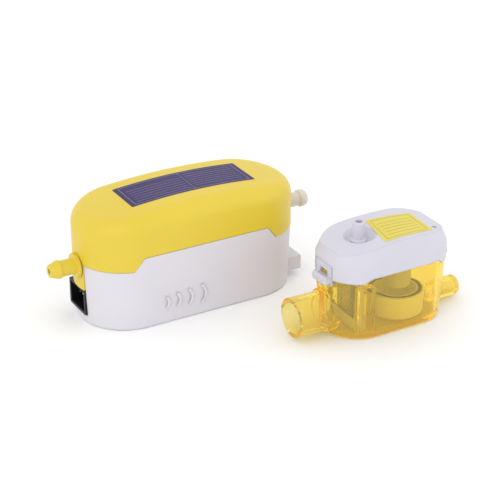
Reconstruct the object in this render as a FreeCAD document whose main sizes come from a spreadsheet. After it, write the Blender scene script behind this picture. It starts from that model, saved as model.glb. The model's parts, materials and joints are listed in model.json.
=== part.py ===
import FreeCAD, Part
import math
import os
import re

import Sketcher

# Condensate pump: a small vibrating-piston pump in a two-shell housing, and the reservoir that stands
# beside it, where a float tells the pump when the condensate has risen. Millimetres, +Z up. The origin
# is the centre of the pump's flat foot; +X runs along the pump towards its inlet end, +Y to its back.

Vector = FreeCAD.Vector
doc = FreeCAD.newDocument("condensate_pump")
sheet = doc.addObject("Spreadsheet::Sheet", "Sizes")
aliases = []
nodes = []


# Driving dimensions, each under a name that is a word
SIZES = {
    # Housing of the pump
    "pump_length": 94.4,
    "pump_width": 41.6,
    "pump_height": 49.2,
    "pump_draft": 1.1,
    "pump_wall": 2.0,
    "pump_floor": 2.0,
    "foot_radius": 0.8,
    "seam_low": 25.8,
    "seam_high": 31.1,
    "seam_inner": 27.5,
    "seam_outer": 31.7,
    "seam_gap": 0.2,
    "crown_radius": 275,
    "shoulder_radius": 7.0,
    "pump_axis": 24.4,
    "inlet_axis": 30.0,
    # Tab of the cover over the power socket, and the socket itself
    "tab_width": 14.6,
    "tab_foot": 15.0,
    "tab_gap": 0.15,
    "slot_floor": 3.4,
    "socket_side": 2.6,
    "socket_depth": 11.0,
    "socket_setback": 0.7,
    "socket_wall": 1.2,
    "socket_back": 4.4,
    "socket_corner": 0.9,
    "blade_width": 1.6,
    "blade_thickness": 0.8,
    "blade_pitch": 3.2,
    "blade_reach": 4.0,
    "blade_height": 9.4,
    # Lead socket of the float sensor, at the inlet end
    "boss_reach": 2.8,
    "boss_width": 12.0,
    "boss_side": -4.0,
    "boss_low": 3.0,
    "boss_high": 9.0,
    "boss_wall": 0.8,
    "plug_setback": 5.0,
    "plug_block": 6.9,
    "pin_thickness": 0.6,
    "pin_height": 7.1,
    "pin_pitch": 2.2,
    "pin_reach": 3.0,
    "fit_gap": 0.05,
    "seat_gap": 0.1,
    # Columns and screws that hold cover and base together
    "screw_x": 33.2,
    "screw_y": 12.8,
    "column_radius": 3.5,
    "column_top": 12.0,
    "screw_recess": 9.0,
    "screw_radius": 1.5,
    "screw_length": 17.0,
    "screw_head_radius": 2.7,
    "screw_head_height": 2.0,
    "screw_slot": 0.8,
    # Circuit board
    "board_length": 56.0,
    "board_width": 30.0,
    "board_thickness": 1.6,
    "board_height": 4.6,
    "board_tongue": 10.4,
    "plug_tongue": 7.8,
    "board_corner": 1.5,
    "post_x": 25.0,
    "post_y": 12.5,
    "post_radius": 2.4,
    "post_pin_radius": 1.2,
    "relay_length": 13.0,
    "relay_width": 8.0,
    "relay_height": 8.5,
    "relay_corner": 0.6,
    "relay_x": 20.5,
    "relay_y": -6.0,
    "capacitor_radius": 4.0,
    "capacitor_height": 9.5,
    "capacitor_x": 18.5,
    "capacitor_y": 6.5,
    "varistor_radius": 4.2,
    "varistor_thickness": 3.2,
    "varistor_x": 26.0,
    "varistor_y": 6.5,
    "chip_side": 7.0,
    "chip_height": 1.2,
    "fuse_radius": 1.3,
    "fuse_length": 12.0,
    "fuse_cap": 2.4,
    "fuse_x": -19.0,
    # Solenoid and the pump works on its axis
    "solenoid_middle": -8.0,
    "yoke_length": 29.0,
    "yoke_height": 29.6,
    "yoke_width": 18.0,
    "yoke_thickness": 1.5,
    "bobbin_radius": 12.6,
    "flange_thickness": 1.0,
    "bobbin_wall": 1.0,
    "winding_radius": 11.6,
    "terminal_low": 13.0,
    "terminal_high": 18.0,
    "terminal_inner": 9.4,
    "terminal_outer": 12.0,
    "terminal_pin_radius": 0.35,
    "barrel_radius": 5.0,
    "barrel_bore": 4.08,
    "barrel_start": -32.0,
    "barrel_end": 16.0,
    "piston_radius": 4.0,
    "piston_length": 20.0,
    "piston_middle": -8.0,
    "piston_bore": 2.0,
    "valve_chamber": 2.3,
    "valve_seat": 1.2,
    "ball_radius": 1.8,
    "ball_lift": 1.2,
    "piston_chamber": 7.0,
    "cage_thickness": 1.0,
    "cage_bore": 0.9,
    "head_radius": 7.5,
    "head_cup": 2.0,
    "seat_wall": 1.2,
    "outlet_chamber": 6.8,
    "shank_hold": 3.2,
    "nose_radius": 4.6,
    "nose_length": 4.0,
    "shank_radius": 3.0,
    "ring_wire": 0.78,
    "mount_radius": 10.0,
    "mount_width": 5.0,
    "mount_groove": 1.6,
    "outlet_mount": -27.2,
    "inlet_mount": 11.2,
    "cradle_thickness": 2.0,
    "cradle_width": 28.0,
    "underpass_height": 8.0,
    "inlet_head_length": 9.8,
    "inlet_bore": 1.6,
    "hose_spigot": 2.6,
    "hose_spigot_length": 4.5,
    "spring_radius": 3.3,
    "spring_wire": 0.35,
    "spring_pitch": 2.6,
    "valve_spring_radius": 1.45,
    "valve_spring_wire": 0.2,
    "hose_radius": 3.9,
    "hose_bore": 2.7,
    # Barbs
    "barb_reach": 11.8,
    "barb_collar_radius": 5.0,
    "barb_collar": 1.4,
    "barb_stem_radius": 3.25,
    "barb_crest": 7.5,
    "barb_crest_radius": 3.7,
    "barb_tip_radius": 2.5,
    "barb_bore": 1.2,
    "inlet_reach": 10.5,
    "inlet_collar_radius": 4.4,
    "inlet_stem_radius": 3.0,
    "inlet_head_radius": 3.6,
    # Reservoir tank
    "reservoir_x": 58.1,
    "reservoir_y": -56.4,
    "tank_length": 55.3,
    "tank_width": 33.1,
    "tank_flat": 26.6,
    "tank_draft": 1.75,
    "tank_foot_flat": 24.6,
    "tank_floor": 1.8,
    "tank_wall": 1.8,
    "tank_foot_radius": 1.2,
    "lid_low": 25.1,
    "lid_high": 27.3,
    "lid_step_left_low": -17.9,
    "lid_step_left_high": -14.2,
    "lid_step_right_high": 16.6,
    "lid_step_right_low": 19.0,
    "lid_gap": 0.15,
    "lid_wall": 1.8,
    "rim_gap": 0.3,
    "rim_wall": 1.4,
    "rim_top": 30.0,
    "spigot_radius": 8.0,
    "spigot_bore": 6.3,
    "spigot_axis": 9.8,
    "spigot_tip": 40.8,
    "collar_radius": 8.8,
    "collar_tip": 27.0,
    "stub_radius": 4.2,
    "stub_bore": 2.2,
    "stub_axis": 4.7,
    "stub_tip": 37.0,
    "stub_cap": 1.6,
    # Filter screen and its guides
    "filter_x": -16.0,
    "filter_thickness": 2.0,
    "filter_half_width": 10.7,
    "filter_top": 23.0,
    "filter_sill": 4.8,
    "filter_border": 1.4,
    "filter_gap": 0.2,
    "guide_inner": 10.0,
    "guide_pillar": 3.6,
    "guide_rib": 1.2,
    "guide_top": 22.0,
    "screen_thickness": 0.4,
    "screen_pitch": 2.0,
    "screen_hole": 1.3,
    # Lid
    "lid_shoulder": 31.6,
    "lid_top_length": 48.9,
    "lid_top_width": 26.7,
    "ramp_foot": 31.6,
    "ramp_slope": 60,
    "lid_crown": 39.2,
    "lid_crown_radius": 110,
    "lid_crown_middle": 3.4,
    "tongue_half_width": 5.5,
    "tongue_gap": 0.4,
    "tongue_top": 30.6,
    "tongue_foot": 22.2,
    "tongue_thickness": 1.6,
    "catch_half_width": 2.2,
    "catch_low": 25.7,
    "catch_high": 27.5,
    "catch_reach": 1.6,
    "catch_gap": 0.3,
    "lip_half_width": 4.8,
    "lip_low": 23.0,
    "lip_high": 25.6,
    "lip_reach": 2.7,
    "lip_corner": 1.2,
    "suction_x": -11.0,
    "suction_radius": 2.5,
    "suction_bore": 1.4,
    "suction_foot": 3.0,
    "suction_top": 44.2,
    "dish_radius": 7.6,
    "dish_floor_radius": 4.2,
    "dish_floor": 36.0,
    "dish_under": 34.2,
    "vent_x": 19.0,
    "vent_y": -8.2,
    "vent_radius": 0.9,
    # Float and its sensor
    "float_x": 7.4,
    "float_y": 0.2,
    "float_radius": 11.1,
    "float_bore": 8.0,
    "float_height": 9.8,
    "magnet_inner": 8.8,
    "magnet_outer": 10.2,
    "magnet_height": 1.5,
    "well_radius": 5.6,
    "well_wall": 1.0,
    "well_foot": 13.0,
    "well_flange": 7.6,
    "sensor_board_width": 5.0,
    "sensor_board_thickness": 1.0,
    "sensor_board_length": 15.0,
    "sensor_side": 3.0,
    "sensor_thickness": 1.2,
    "sensor_pitch": 4.6,
}

for alias, value in SIZES.items():
    aliases.append(alias)
    row = len(aliases)
    sheet.set("A%d" % row, alias)
    sheet.set("B%d" % row, str(value))
    sheet.setAlias("B%d" % row, alias)
doc.recompute()
names = re.compile(r"\b(" + "|".join(sorted(aliases, key=len, reverse=True)) + r")\b")


def tied(text):
    """Turn words of the sheet into references to its cells."""
    return names.sub(r"Sizes.\1", text)


def number(text):
    """Value that an expression of the sheet's words has now."""
    result = sheet.evalExpression(tied(text))
    return float(getattr(result, "Value", result))


def bind(thing, prop, text):
    thing.setExpression(prop, tied(text))


def new_body(name, x="0", y="0", z="0", keep=True):
    """Start a piece, with its own origin at a place worked out from the sheet."""
    body = doc.addObject("PartDesign::Body", name)
    body.Label = name
    body.AllowCompound = True
    bind(body, "Placement.Base.x", x)
    bind(body, "Placement.Base.y", y)
    bind(body, "Placement.Base.z", z)
    if keep:
        nodes.append(body)
    return body


def new_sketch(body, plane, at="0"):
    """Sketch on one of the body's own origin planes, moved along the plane's axis to at."""
    sketch = body.newObject("Sketcher::SketchObject", body.Name + "_sketch")
    origin_plane = [item for item in body.Origin.OriginFeatures if item.Role == plane + "_Plane"][0]
    sketch.AttachmentSupport = [(origin_plane, "")]
    sketch.MapMode = "FlatFace"
    side = "-(%s)" if plane == "XZ" else "%s"
    bind(sketch, "AttachmentOffset.Base.z", side % at)
    return sketch


def hold(sketch, constraint, text):
    """Add a dimension whose value is an expression of the sheet."""
    index = sketch.addConstraint(constraint)
    label = "dimension%d" % index
    sketch.renameConstraint(index, label)
    bind(sketch, "Constraints." + label, text)


def hold_point(sketch, curve, end, x, y):
    hold(sketch, Sketcher.Constraint("DistanceX", -1, 1, curve, end, number(x)), x)
    hold(sketch, Sketcher.Constraint("DistanceY", -1, 1, curve, end, number(y)), y)


def polygon(sketch, corners):
    """Closed outline of straight lines through corners, each an x and a y of the sheet's words."""
    points = [Vector(number(x), number(y), 0) for x, y in corners]
    first = sketch.GeometryCount
    count = len(corners)
    for index in range(count):
        sketch.addGeometry(Part.LineSegment(points[index], points[(index + 1) % count]))
    for index in range(count):
        following = first + (index + 1) % count
        sketch.addConstraint(Sketcher.Constraint("Coincident", first + index, 2, following, 1))
    for index, (x, y) in enumerate(corners):
        hold_point(sketch, first + index, 1, x, y)


def rectangle(sketch, left, low, right, high):
    polygon(sketch, [(left, low), (right, low), (right, high), (left, high)])


def circle(sketch, x, y, radius):
    centre = Vector(number(x), number(y), 0)
    curve = sketch.addGeometry(Part.Circle(centre, Vector(0, 0, 1), number(radius)))
    hold(sketch, Sketcher.Constraint("Radius", curve, number(radius)), radius)
    hold_point(sketch, curve, 3, x, y)


def arc(centre, radius, start, end):
    return Part.ArcOfCircle(Part.Circle(centre, Vector(0, 0, 1), radius), start, end)


def stadium(sketch, length, width):
    """Two straight sides joined by two half circles, centred on the sketch's origin."""
    reach = "(%s) / 2 - (%s) / 2" % (length, width)
    radius = number(width) / 2
    middle = number(reach)
    quarter = 1.5707963
    right = sketch.addGeometry(arc(Vector(middle, 0, 0), radius, -quarter, quarter))
    left = sketch.addGeometry(arc(Vector(-middle, 0, 0), radius, quarter, 3 * quarter))
    back = sketch.addGeometry(Part.LineSegment(Vector(middle, radius, 0), Vector(-middle, radius, 0)))
    front = sketch.addGeometry(Part.LineSegment(Vector(-middle, -radius, 0), Vector(middle, -radius, 0)))
    for curve, side in ((right, ""), (left, "-")):
        hold_point(sketch, curve, 3, "%s(%s)" % (side, reach), "0")
        hold(sketch, Sketcher.Constraint("Radius", curve, radius), "(%s) / 2" % width)
        sketch.addConstraint(Sketcher.Constraint("Vertical", curve, 1, curve, 3))
        sketch.addConstraint(Sketcher.Constraint("Vertical", curve, 2, curve, 3))
    sketch.addConstraint(Sketcher.Constraint("Coincident", right, 2, back, 1))
    sketch.addConstraint(Sketcher.Constraint("Coincident", back, 2, left, 1))
    sketch.addConstraint(Sketcher.Constraint("Coincident", left, 2, front, 1))
    sketch.addConstraint(Sketcher.Constraint("Coincident", front, 2, right, 1))


def pad(body, sketch, length, back=False, both=False):
    feature = body.newObject("PartDesign::Pad", body.Name + "_pad")
    feature.Profile = sketch
    feature.SideType = "Symmetric" if both else "One side"
    feature.Reversed = back
    bind(feature, "Length", length)
    return feature


def cut(body, sketch, length, forward=False, both=False):
    """Pocket against the sketch's normal, along it where forward is set, or half each way."""
    feature = body.newObject("PartDesign::Pocket", body.Name + "_cut")
    feature.Profile = sketch
    feature.SideType = "Symmetric" if both else "One side"
    feature.Reversed = forward
    bind(feature, "Length", length)
    return feature


def tapered(body, length, width, low, high, inset, soft):
    """Stadium block that is full size at its top and narrower by inset all round at its foot."""
    plan = new_sketch(body, "XY", low)
    stadium(plan, length, width)
    block = pad(body, plan, "(%s) - (%s)" % (high, low))
    doc.recompute()
    sides = []
    for index, face in enumerate(block.Shape.Faces):
        box = face.BoundBox
        if box.ZLength > 0.01:
            sides.append("Face%d" % (index + 1))
        elif abs(box.ZMin - number(high)) < 0.01:
            top = "Face%d" % (index + 1)
    lean = body.newObject("PartDesign::Draft", body.Name + "_draft")
    lean.Base = (block, sides)
    lean.NeutralPlane = (block, [top])
    lean.Reversed = True
    bind(lean, "Angle", "atan((%s) / ((%s) - (%s)))" % (inset, high, low))
    foot = number(low)
    return rounded(body, lean, lambda edge: level(edge, foot), soft)


def turned(body, corners, axis="H_Axis"):
    """Revolve an outline about the X axis (H_Axis) or the Z axis (V_Axis) of the piece."""
    sketch = new_sketch(body, "XZ")
    polygon(sketch, corners)
    feature = body.newObject("PartDesign::Revolution", body.Name + "_turn")
    feature.Profile = sketch
    feature.ReferenceAxis = (sketch, [axis])
    feature.Angle = 360
    return feature


def turned_out(body, corners, axis="V_Axis"):
    sketch = new_sketch(body, "XZ")
    polygon(sketch, corners)
    feature = body.newObject("PartDesign::Groove", body.Name + "_groove")
    feature.Profile = sketch
    feature.ReferenceAxis = (sketch, [axis])
    feature.Angle = 360
    return feature


def less(body, tool):
    """Take another body away from this one."""
    feature = body.newObject("PartDesign::Boolean", body.Name + "_less")
    feature.setObjects([tool])
    feature.Type = "Cut"
    return feature


def rounded(body, base, chosen, radius):
    """Fillet the edges of the last feature that a test picks by their place."""
    doc.recompute()
    picked = ["Edge%d" % (index + 1) for index, edge in enumerate(base.Shape.Edges) if chosen(edge)]
    feature = body.newObject("PartDesign::Fillet", body.Name + "_fillet")
    feature.Base = (base, picked)
    bind(feature, "Radius", radius)
    return feature


def row_of(body, feature, direction, count, reach):
    """Repeat a feature along an axis of the sketch that it was drawn in."""
    pattern = body.newObject("PartDesign::LinearPattern", body.Name + "_row")
    pattern.Originals = [feature]
    pattern.Direction = (feature.Profile[0], [direction])
    pattern.Occurrences = count
    bind(pattern, "Length", reach)
    body.Tip = pattern
    return pattern


def level(edge, height, slack=0.01):
    box = edge.BoundBox
    return abs(box.ZMin - height) < slack and abs(box.ZMax - height) < slack


# Both shells of the pump's housing have this plan: a length and a width less an inset all round.
def pump_plan(sketch, inset):
    stadium(sketch, "pump_length - 2 * (%s)" % inset, "pump_width - 2 * (%s)" % inset)


SCREWS = [(x, y) for x in ("-screw_x", "screw_x") for y in ("-screw_y", "screw_y")]


def base_housing():
    """Lower shell: tapered tray with cradles for the pump works, board posts and screw columns."""
    hollow = new_body("base_hollow", keep=False)
    tapered(hollow, "pump_length - 2 * pump_wall", "pump_width - 2 * pump_wall", "pump_floor", "seam_high",
            "pump_draft * (1 - pump_floor / seam_high)", "foot_radius")
    body = new_body("base_housing")
    tapered(body, "pump_length", "pump_width", "0", "seam_high", "pump_draft", "foot_radius")
    less(body, hollow)
    for side in ("-", ""):
        ends = new_sketch(body, "XZ")
        polygon(ends, [
            (side + "seam_inner", "seam_high + 1"),
            (side + "seam_inner", "seam_high"),
            (side + "seam_outer", "seam_low"),
            (side + "pump_length", "seam_low"),
            (side + "pump_length", "seam_high + 1")])
        cut(body, ends, "2 * pump_width", both=True)
    slot = new_sketch(body, "YZ", "-pump_length")
    rectangle(slot, "socket_side - tab_width / 2 - tab_gap", "slot_floor",
              "socket_side + tab_width / 2 + tab_gap", "seam_high")
    cut(body, slot, "pump_length / 2 + pump_wall + pump_draft + 4", forward=True)
    boss = new_sketch(body, "YZ", "pump_length / 2 + boss_reach")
    rectangle(boss, "boss_side - boss_width / 2", "boss_low", "boss_side + boss_width / 2", "boss_high")
    boss_pad = pad(body, boss, "boss_reach + pump_wall + pump_draft + 3", back=True)
    rounded(body, boss_pad, lambda edge: abs(edge.BoundBox.XMin - number("pump_length / 2 + boss_reach")) < 0.01
            and edge.BoundBox.XLength < 0.01, "boss_wall / 2")
    mouth = new_sketch(body, "YZ", "pump_length / 2 + boss_reach + 1")
    rectangle(mouth, "boss_side - boss_width / 2 + boss_wall", "boss_low + boss_wall",
              "boss_side + boss_width / 2 - boss_wall", "boss_high - boss_wall")
    cut(body, mouth, "boss_reach + pump_wall + pump_draft + 6")
    for place in ("outlet_mount", "inlet_mount"):
        cradle = new_sketch(body, "YZ", place)
        half = "(pump_width / 2 - pump_wall / 2 - pump_draft / 2)"
        under = "(board_width / 2 + 0.4)"
        polygon(cradle, [
            ("-" + half, "pump_floor / 2"),
            ("-" + under, "pump_floor / 2"),
            ("-" + under, "underpass_height"),
            (under, "underpass_height"),
            (under, "pump_floor / 2"),
            (half, "pump_floor / 2"),
            (half, "pump_axis"),
            ("-" + half, "pump_axis")])
        pad(body, cradle, "cradle_thickness", both=True)
        notch = new_sketch(body, "YZ", place)
        circle(notch, "0", "pump_axis", "mount_radius - mount_groove + fit_gap")
        cut(body, notch, "cradle_thickness + 1", both=True)
    posts = new_sketch(body, "XY", "pump_floor / 2")
    pins = new_sketch(body, "XY", "pump_floor / 2")
    for x in ("-post_x", "post_x"):
        for y in ("-post_y", "post_y"):
            circle(posts, x, y, "post_radius")
            circle(pins, x, y, "post_pin_radius")
    pad(body, posts, "board_height - pump_floor / 2")
    pad(body, pins, "board_height + board_thickness + 0.4 - pump_floor / 2")
    columns = new_sketch(body, "XY", "pump_floor / 2")
    recesses = new_sketch(body, "XY", "-1")
    holes = new_sketch(body, "XY", "-1")
    for x, y in SCREWS:
        circle(columns, x, y, "column_radius")
        circle(recesses, x, y, "screw_head_radius + 0.2")
        circle(holes, x, y, "screw_radius + fit_gap")
    pad(body, columns, "column_top - pump_floor / 2")
    cut(body, recesses, "screw_recess + 1", forward=True)
    cut(body, holes, "column_top + 2", forward=True)
    return body


def crowned(body, inset, low, top, radius, corner):
    """Upright block on the pump's plan, cut off by the long crown and rounded all round its top."""
    plan = new_sketch(body, "XY", low)
    pump_plan(plan, inset)
    pad(body, plan, "pump_height + 2 - (%s)" % low)
    crown = crown_cut(body, "0", top, radius, "pump_length", "pump_height + 4")
    wall = number("pump_height - 12")
    return rounded(body, crown, lambda edge: edge.BoundBox.ZMin > wall, corner)


def crown_cut(body, middle, top, radius, span, roof):
    """Cut away all above a cylinder that lies along Y, so that the top has a long shallow crown."""
    sketch = new_sketch(body, "XZ")
    reach = "(%s) / 2" % span
    centre = "(%s) - (%s)" % (top, radius)
    drop = "(%s) + sqrt((%s) ^ 2 - (%s) ^ 2)" % (centre, radius, reach)
    left = "(%s) - %s" % (middle, reach)
    right = "(%s) + %s" % (middle, reach)
    points = [Vector(number(left), number(drop), 0), Vector(number(middle), number(top), 0),
              Vector(number(right), number(drop), 0)]
    arch = sketch.addGeometry(Part.Arc(*points))
    corners = [points[2], Vector(number(right), number(roof), 0), Vector(number(left), number(roof), 0), points[0]]
    rise = sketch.addGeometry(Part.LineSegment(corners[0], corners[1]))
    over = sketch.addGeometry(Part.LineSegment(corners[1], corners[2]))
    fall = sketch.addGeometry(Part.LineSegment(corners[2], corners[3]))
    start, end = (1, 2) if sketch.getPoint(arch, 1).x < sketch.getPoint(arch, 2).x else (2, 1)
    sketch.addConstraint(Sketcher.Constraint("Coincident", arch, end, rise, 1))
    sketch.addConstraint(Sketcher.Constraint("Coincident", rise, 2, over, 1))
    sketch.addConstraint(Sketcher.Constraint("Coincident", over, 2, fall, 1))
    sketch.addConstraint(Sketcher.Constraint("Coincident", fall, 2, arch, start))
    hold(sketch, Sketcher.Constraint("Radius", arch, number(radius)), radius)
    hold_point(sketch, arch, 3, middle, centre)
    hold_point(sketch, rise, 2, right, roof)
    hold_point(sketch, over, 2, left, roof)
    sketch.addConstraint(Sketcher.Constraint("Vertical", rise))
    sketch.addConstraint(Sketcher.Constraint("Vertical", fall))
    return cut(body, sketch, "4 * pump_width", both=True)


def top_cover():
    """Upper shell: crowned lid with a tab over the power socket, screw bosses and cradle caps."""
    hollow = new_body("cover_hollow", keep=False)
    crowned(hollow, "pump_wall", "seam_low - 2", "pump_height - pump_wall", "crown_radius - pump_wall",
            "shoulder_radius - pump_wall")
    bosses = new_sketch(hollow, "XY", "seam_low - 4")
    for x, y in SCREWS:
        circle(bosses, x, y, "column_radius")
    cut(hollow, bosses, "pump_height", forward=True)
    for place in ("outlet_mount", "inlet_mount"):
        cap = new_sketch(hollow, "YZ", place)
        rectangle(cap, "-cradle_width / 2", "seam_low - 4", "cradle_width / 2", "pump_height")
        cut(hollow, cap, "cradle_thickness", both=True)

    body = new_body("top_cover")
    crowned(body, "0", "seam_low + seam_gap", "pump_height", "crown_radius", "shoulder_radius")
    less(body, hollow)
    seam = new_sketch(body, "XZ")
    polygon(seam, [
        ("-seam_outer", "seam_low + seam_gap"),
        ("-seam_inner", "seam_high + seam_gap"),
        ("seam_inner", "seam_high + seam_gap"),
        ("seam_outer", "seam_low + seam_gap"),
        ("seam_outer", "seam_low - 4"),
        ("-seam_outer", "seam_low - 4")])
    cut(body, seam, "2 * pump_width", both=True)
    tab = new_sketch(body, "XY", "tab_foot")
    curved_strip(tab, "pump_width / 2", "pump_width / 2 - pump_wall", "(socket_side - tab_width / 2)",
                 "(socket_side + tab_width / 2)")
    pad(body, tab, "seam_low + 3 - tab_foot")
    for place in ("outlet_mount", "inlet_mount"):
        cap = new_sketch(body, "YZ", place)
        rectangle(cap, "-cradle_width / 2", "pump_axis + seam_gap", "cradle_width / 2", "seam_high + 3")
        pad(body, cap, "cradle_thickness", both=True)
        notch = new_sketch(body, "YZ", place)
        circle(notch, "0", "pump_axis", "mount_radius - mount_groove + fit_gap")
        cut(body, notch, "cradle_thickness + 1", both=True)
    bosses = new_sketch(body, "XY", "column_top")
    pilots = new_sketch(body, "XY", "column_top - 1")
    for x, y in SCREWS:
        circle(bosses, x, y, "column_radius")
        circle(pilots, x, y, "screw_radius + fit_gap")
    pad(body, bosses, "seam_high + 3 - column_top")
    cut(body, pilots, "screw_recess + screw_length + 2 - column_top + 1", forward=True)
    outlet = new_sketch(body, "YZ", "-pump_length / 2 - 1")
    circle(outlet, "0", "pump_axis", "shank_radius + fit_gap")
    cut(body, outlet, "pump_wall + 3", forward=True)
    inlet = new_sketch(body, "YZ", "pump_length / 2 + 1")
    circle(inlet, "0", "inlet_axis", "inlet_stem_radius + fit_gap")
    cut(body, inlet, "pump_wall + 3")
    return body


def curved_strip(sketch, outer, inner, front, back):
    """Piece of the left end's curved wall, between two straight sides."""
    middle = "-(pump_length / 2 - pump_width / 2)"
    centre = Vector(number(middle), 0, 0)
    ends = []
    curves = []
    for radius in (outer, inner):
        corners = []
        for y in (front, back):
            reach = number("sqrt((%s) ^ 2 - (%s) ^ 2)" % (radius, y))
            corners.append(Vector(centre.x - reach, number(y), 0))
        apex = Vector(centre.x - number(radius), 0, 0)
        curves.append(sketch.addGeometry(Part.Arc(corners[0], apex, corners[1])))
        ends.append(corners)
    for which, y in ((0, front), (1, back)):
        side = sketch.addGeometry(Part.LineSegment(ends[0][which], ends[1][which]))
        for line_end, curve in ((1, curves[0]), (2, curves[1])):
            first = sketch.getPoint(curve, 1)
            curve_end = 1 if (first - ends[line_end - 1][which]).Length < 0.001 else 2
            sketch.addConstraint(Sketcher.Constraint("Coincident", curve, curve_end, side, line_end))
        sketch.addConstraint(Sketcher.Constraint("Horizontal", side))
        hold(sketch, Sketcher.Constraint("DistanceY", -1, 1, side, 1, number(y)), y)
    for curve, radius in zip(curves, (outer, inner)):
        hold(sketch, Sketcher.Constraint("Radius", curve, number(radius)), radius)
        hold_point(sketch, curve, 3, middle, "0")


def ring(body, x, radius, wire):
    """Round-section ring about the X axis of the piece."""
    section = new_sketch(body, "XZ")
    circle(section, x, radius, wire)
    feature = body.newObject("PartDesign::Revolution", body.Name + "_turn")
    feature.Profile = section
    feature.ReferenceAxis = (section, ["H_Axis"])
    feature.Angle = 360


def coil_spring(name, start, end, radius, wire, turns):
    """Open-wound spring on the pump axis, from the face at start to the face at end."""
    body = new_body(name, z="pump_axis")
    section = new_sketch(body, "XZ")
    circle(section, "(%s) + %s + seat_gap / 2" % (start, wire), radius, wire)
    coil = body.newObject("PartDesign::AdditiveHelix", name + "_coil")
    coil.Profile = section
    coil.ReferenceAxis = (section, ["H_Axis"])
    coil.Mode = "height-turns-angle"
    coil.Turns = turns
    bind(coil, "Height", "(%s) - (%s) - 2 * %s - seat_gap" % (end, start, wire))
    coil.Angle = 0
    return body


def ball(name, x):
    body = new_body(name, x=x, z="pump_axis")
    section = new_sketch(body, "XZ")
    reach = number("ball_radius")
    curve = section.addGeometry(arc(Vector(0, 0, 0), reach, 0, 3.14159265))
    line = section.addGeometry(Part.LineSegment(Vector(-reach, 0, 0), Vector(reach, 0, 0)))
    section.addConstraint(Sketcher.Constraint("Coincident", curve, 2, line, 1))
    section.addConstraint(Sketcher.Constraint("Coincident", line, 2, curve, 1))
    section.addConstraint(Sketcher.Constraint("Coincident", curve, 3, -1, 1))
    section.addConstraint(Sketcher.Constraint("Horizontal", line))
    section.addConstraint(Sketcher.Constraint("PointOnObject", line, 1, -1))
    hold(section, Sketcher.Constraint("Radius", curve, reach), "ball_radius")
    feature = body.newObject("PartDesign::Revolution", name + "_turn")
    feature.Profile = section
    feature.ReferenceAxis = (section, ["H_Axis"])
    feature.Angle = 360
    return body


# Where the parts of the power socket lie along the pump
SOCKET_FRONT = "(socket_setback - pump_length / 2)"
SOCKET_BACK = "(socket_setback - pump_length / 2 + socket_depth)"
BOARD_TOP = "(board_height + board_thickness)"


def power_socket():
    """Black insulating socket that drops into the slot of the base before the cover goes on."""
    body = new_body("power_socket")
    outer = new_sketch(body, "YZ", SOCKET_BACK)
    rectangle(outer, "socket_side - tab_width / 2", "slot_floor + tab_gap",
              "socket_side + tab_width / 2", "tab_foot - tab_gap")
    block = pad(body, outer, "socket_depth", back=True)
    depth = number("socket_depth")
    rounded(body, block, lambda edge: abs(edge.BoundBox.XLength - depth) < 0.01, "socket_corner")
    mouth = new_sketch(body, "YZ", SOCKET_FRONT + " - 1")
    rectangle(mouth, "socket_side - tab_width / 2 + socket_wall", "slot_floor + tab_gap + socket_wall",
              "socket_side + tab_width / 2 - socket_wall", "tab_foot - tab_gap - socket_wall")
    cut(body, mouth, "socket_depth - socket_back + 1", forward=True)
    slits = new_sketch(body, "YZ", SOCKET_BACK + " + 1")
    half_width = "(blade_width / 2 + fit_gap)"
    half_height = "(blade_thickness / 2 + fit_gap)"
    for y in ("socket_side - blade_pitch", "socket_side", "socket_side + blade_pitch"):
        rectangle(slits, "%s - %s" % (y, half_width), "blade_height - " + half_height,
                  "%s + %s" % (y, half_width), "blade_height + " + half_height)
    cut(body, slits, "socket_back + 2")
    return body


def power_blades():
    """Three bent brass blades: line, neutral and earth, from the socket down to the board."""
    body = new_body("power_blades")
    side = new_sketch(body, "XZ", "socket_side + blade_pitch")
    tip = SOCKET_BACK + " - socket_back - blade_reach"
    leg = SOCKET_BACK + " + blade_thickness"
    polygon(side, [
        (tip, "blade_height - blade_thickness / 2"),
        (leg, "blade_height - blade_thickness / 2"),
        (leg, BOARD_TOP),
        (leg + " + blade_thickness", BOARD_TOP),
        (leg + " + blade_thickness", "blade_height + blade_thickness / 2"),
        (tip, "blade_height + blade_thickness / 2")])
    blade = pad(body, side, "blade_width", both=True)
    row_of(body, blade, "N_Axis", 3, "2 * blade_pitch")
    return body


PLUG_FACE = "(pump_length / 2 + boss_reach - plug_setback)"


def sensor_socket():
    """White block at the bottom of the square boss, with holes for the pins of the sensor lead."""
    body = new_body("sensor_socket")
    outer = new_sketch(body, "YZ", PLUG_FACE + " - plug_block")
    gap = "(boss_wall + seat_gap)"
    rectangle(outer, "boss_side - boss_width / 2 + " + gap, "boss_low + " + gap,
              "boss_side + boss_width / 2 - " + gap, "boss_high - " + gap)
    pad(body, outer, "plug_block")
    holes = new_sketch(body, "YZ", PLUG_FACE + " + 1")
    half = "(pin_thickness / 2 + fit_gap)"
    for place in ("-1.5", "-0.5", "0.5", "1.5"):
        y = "(boss_side + %s * pin_pitch)" % place
        rectangle(holes, "%s - %s" % (y, half), "pin_height - " + half,
                  "%s + %s" % (y, half), "pin_height + " + half)
    cut(body, holes, "plug_block + 2")
    return body


def sensor_pins():
    body = new_body("sensor_pins")
    side = new_sketch(body, "XZ", "boss_side + 1.5 * pin_pitch")
    tip = PLUG_FACE + " + pin_reach"
    leg = PLUG_FACE + " - plug_block - pin_thickness"
    polygon(side, [
        (tip, "pin_height - pin_thickness / 2"),
        (leg, "pin_height - pin_thickness / 2"),
        (leg, BOARD_TOP),
        (leg + " - pin_thickness", BOARD_TOP),
        (leg + " - pin_thickness", "pin_height + pin_thickness / 2"),
        (tip, "pin_height + pin_thickness / 2")])
    pin = pad(body, side, "pin_thickness", both=True)
    row_of(body, pin, "N_Axis", 4, "3 * pin_pitch")
    return body


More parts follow.
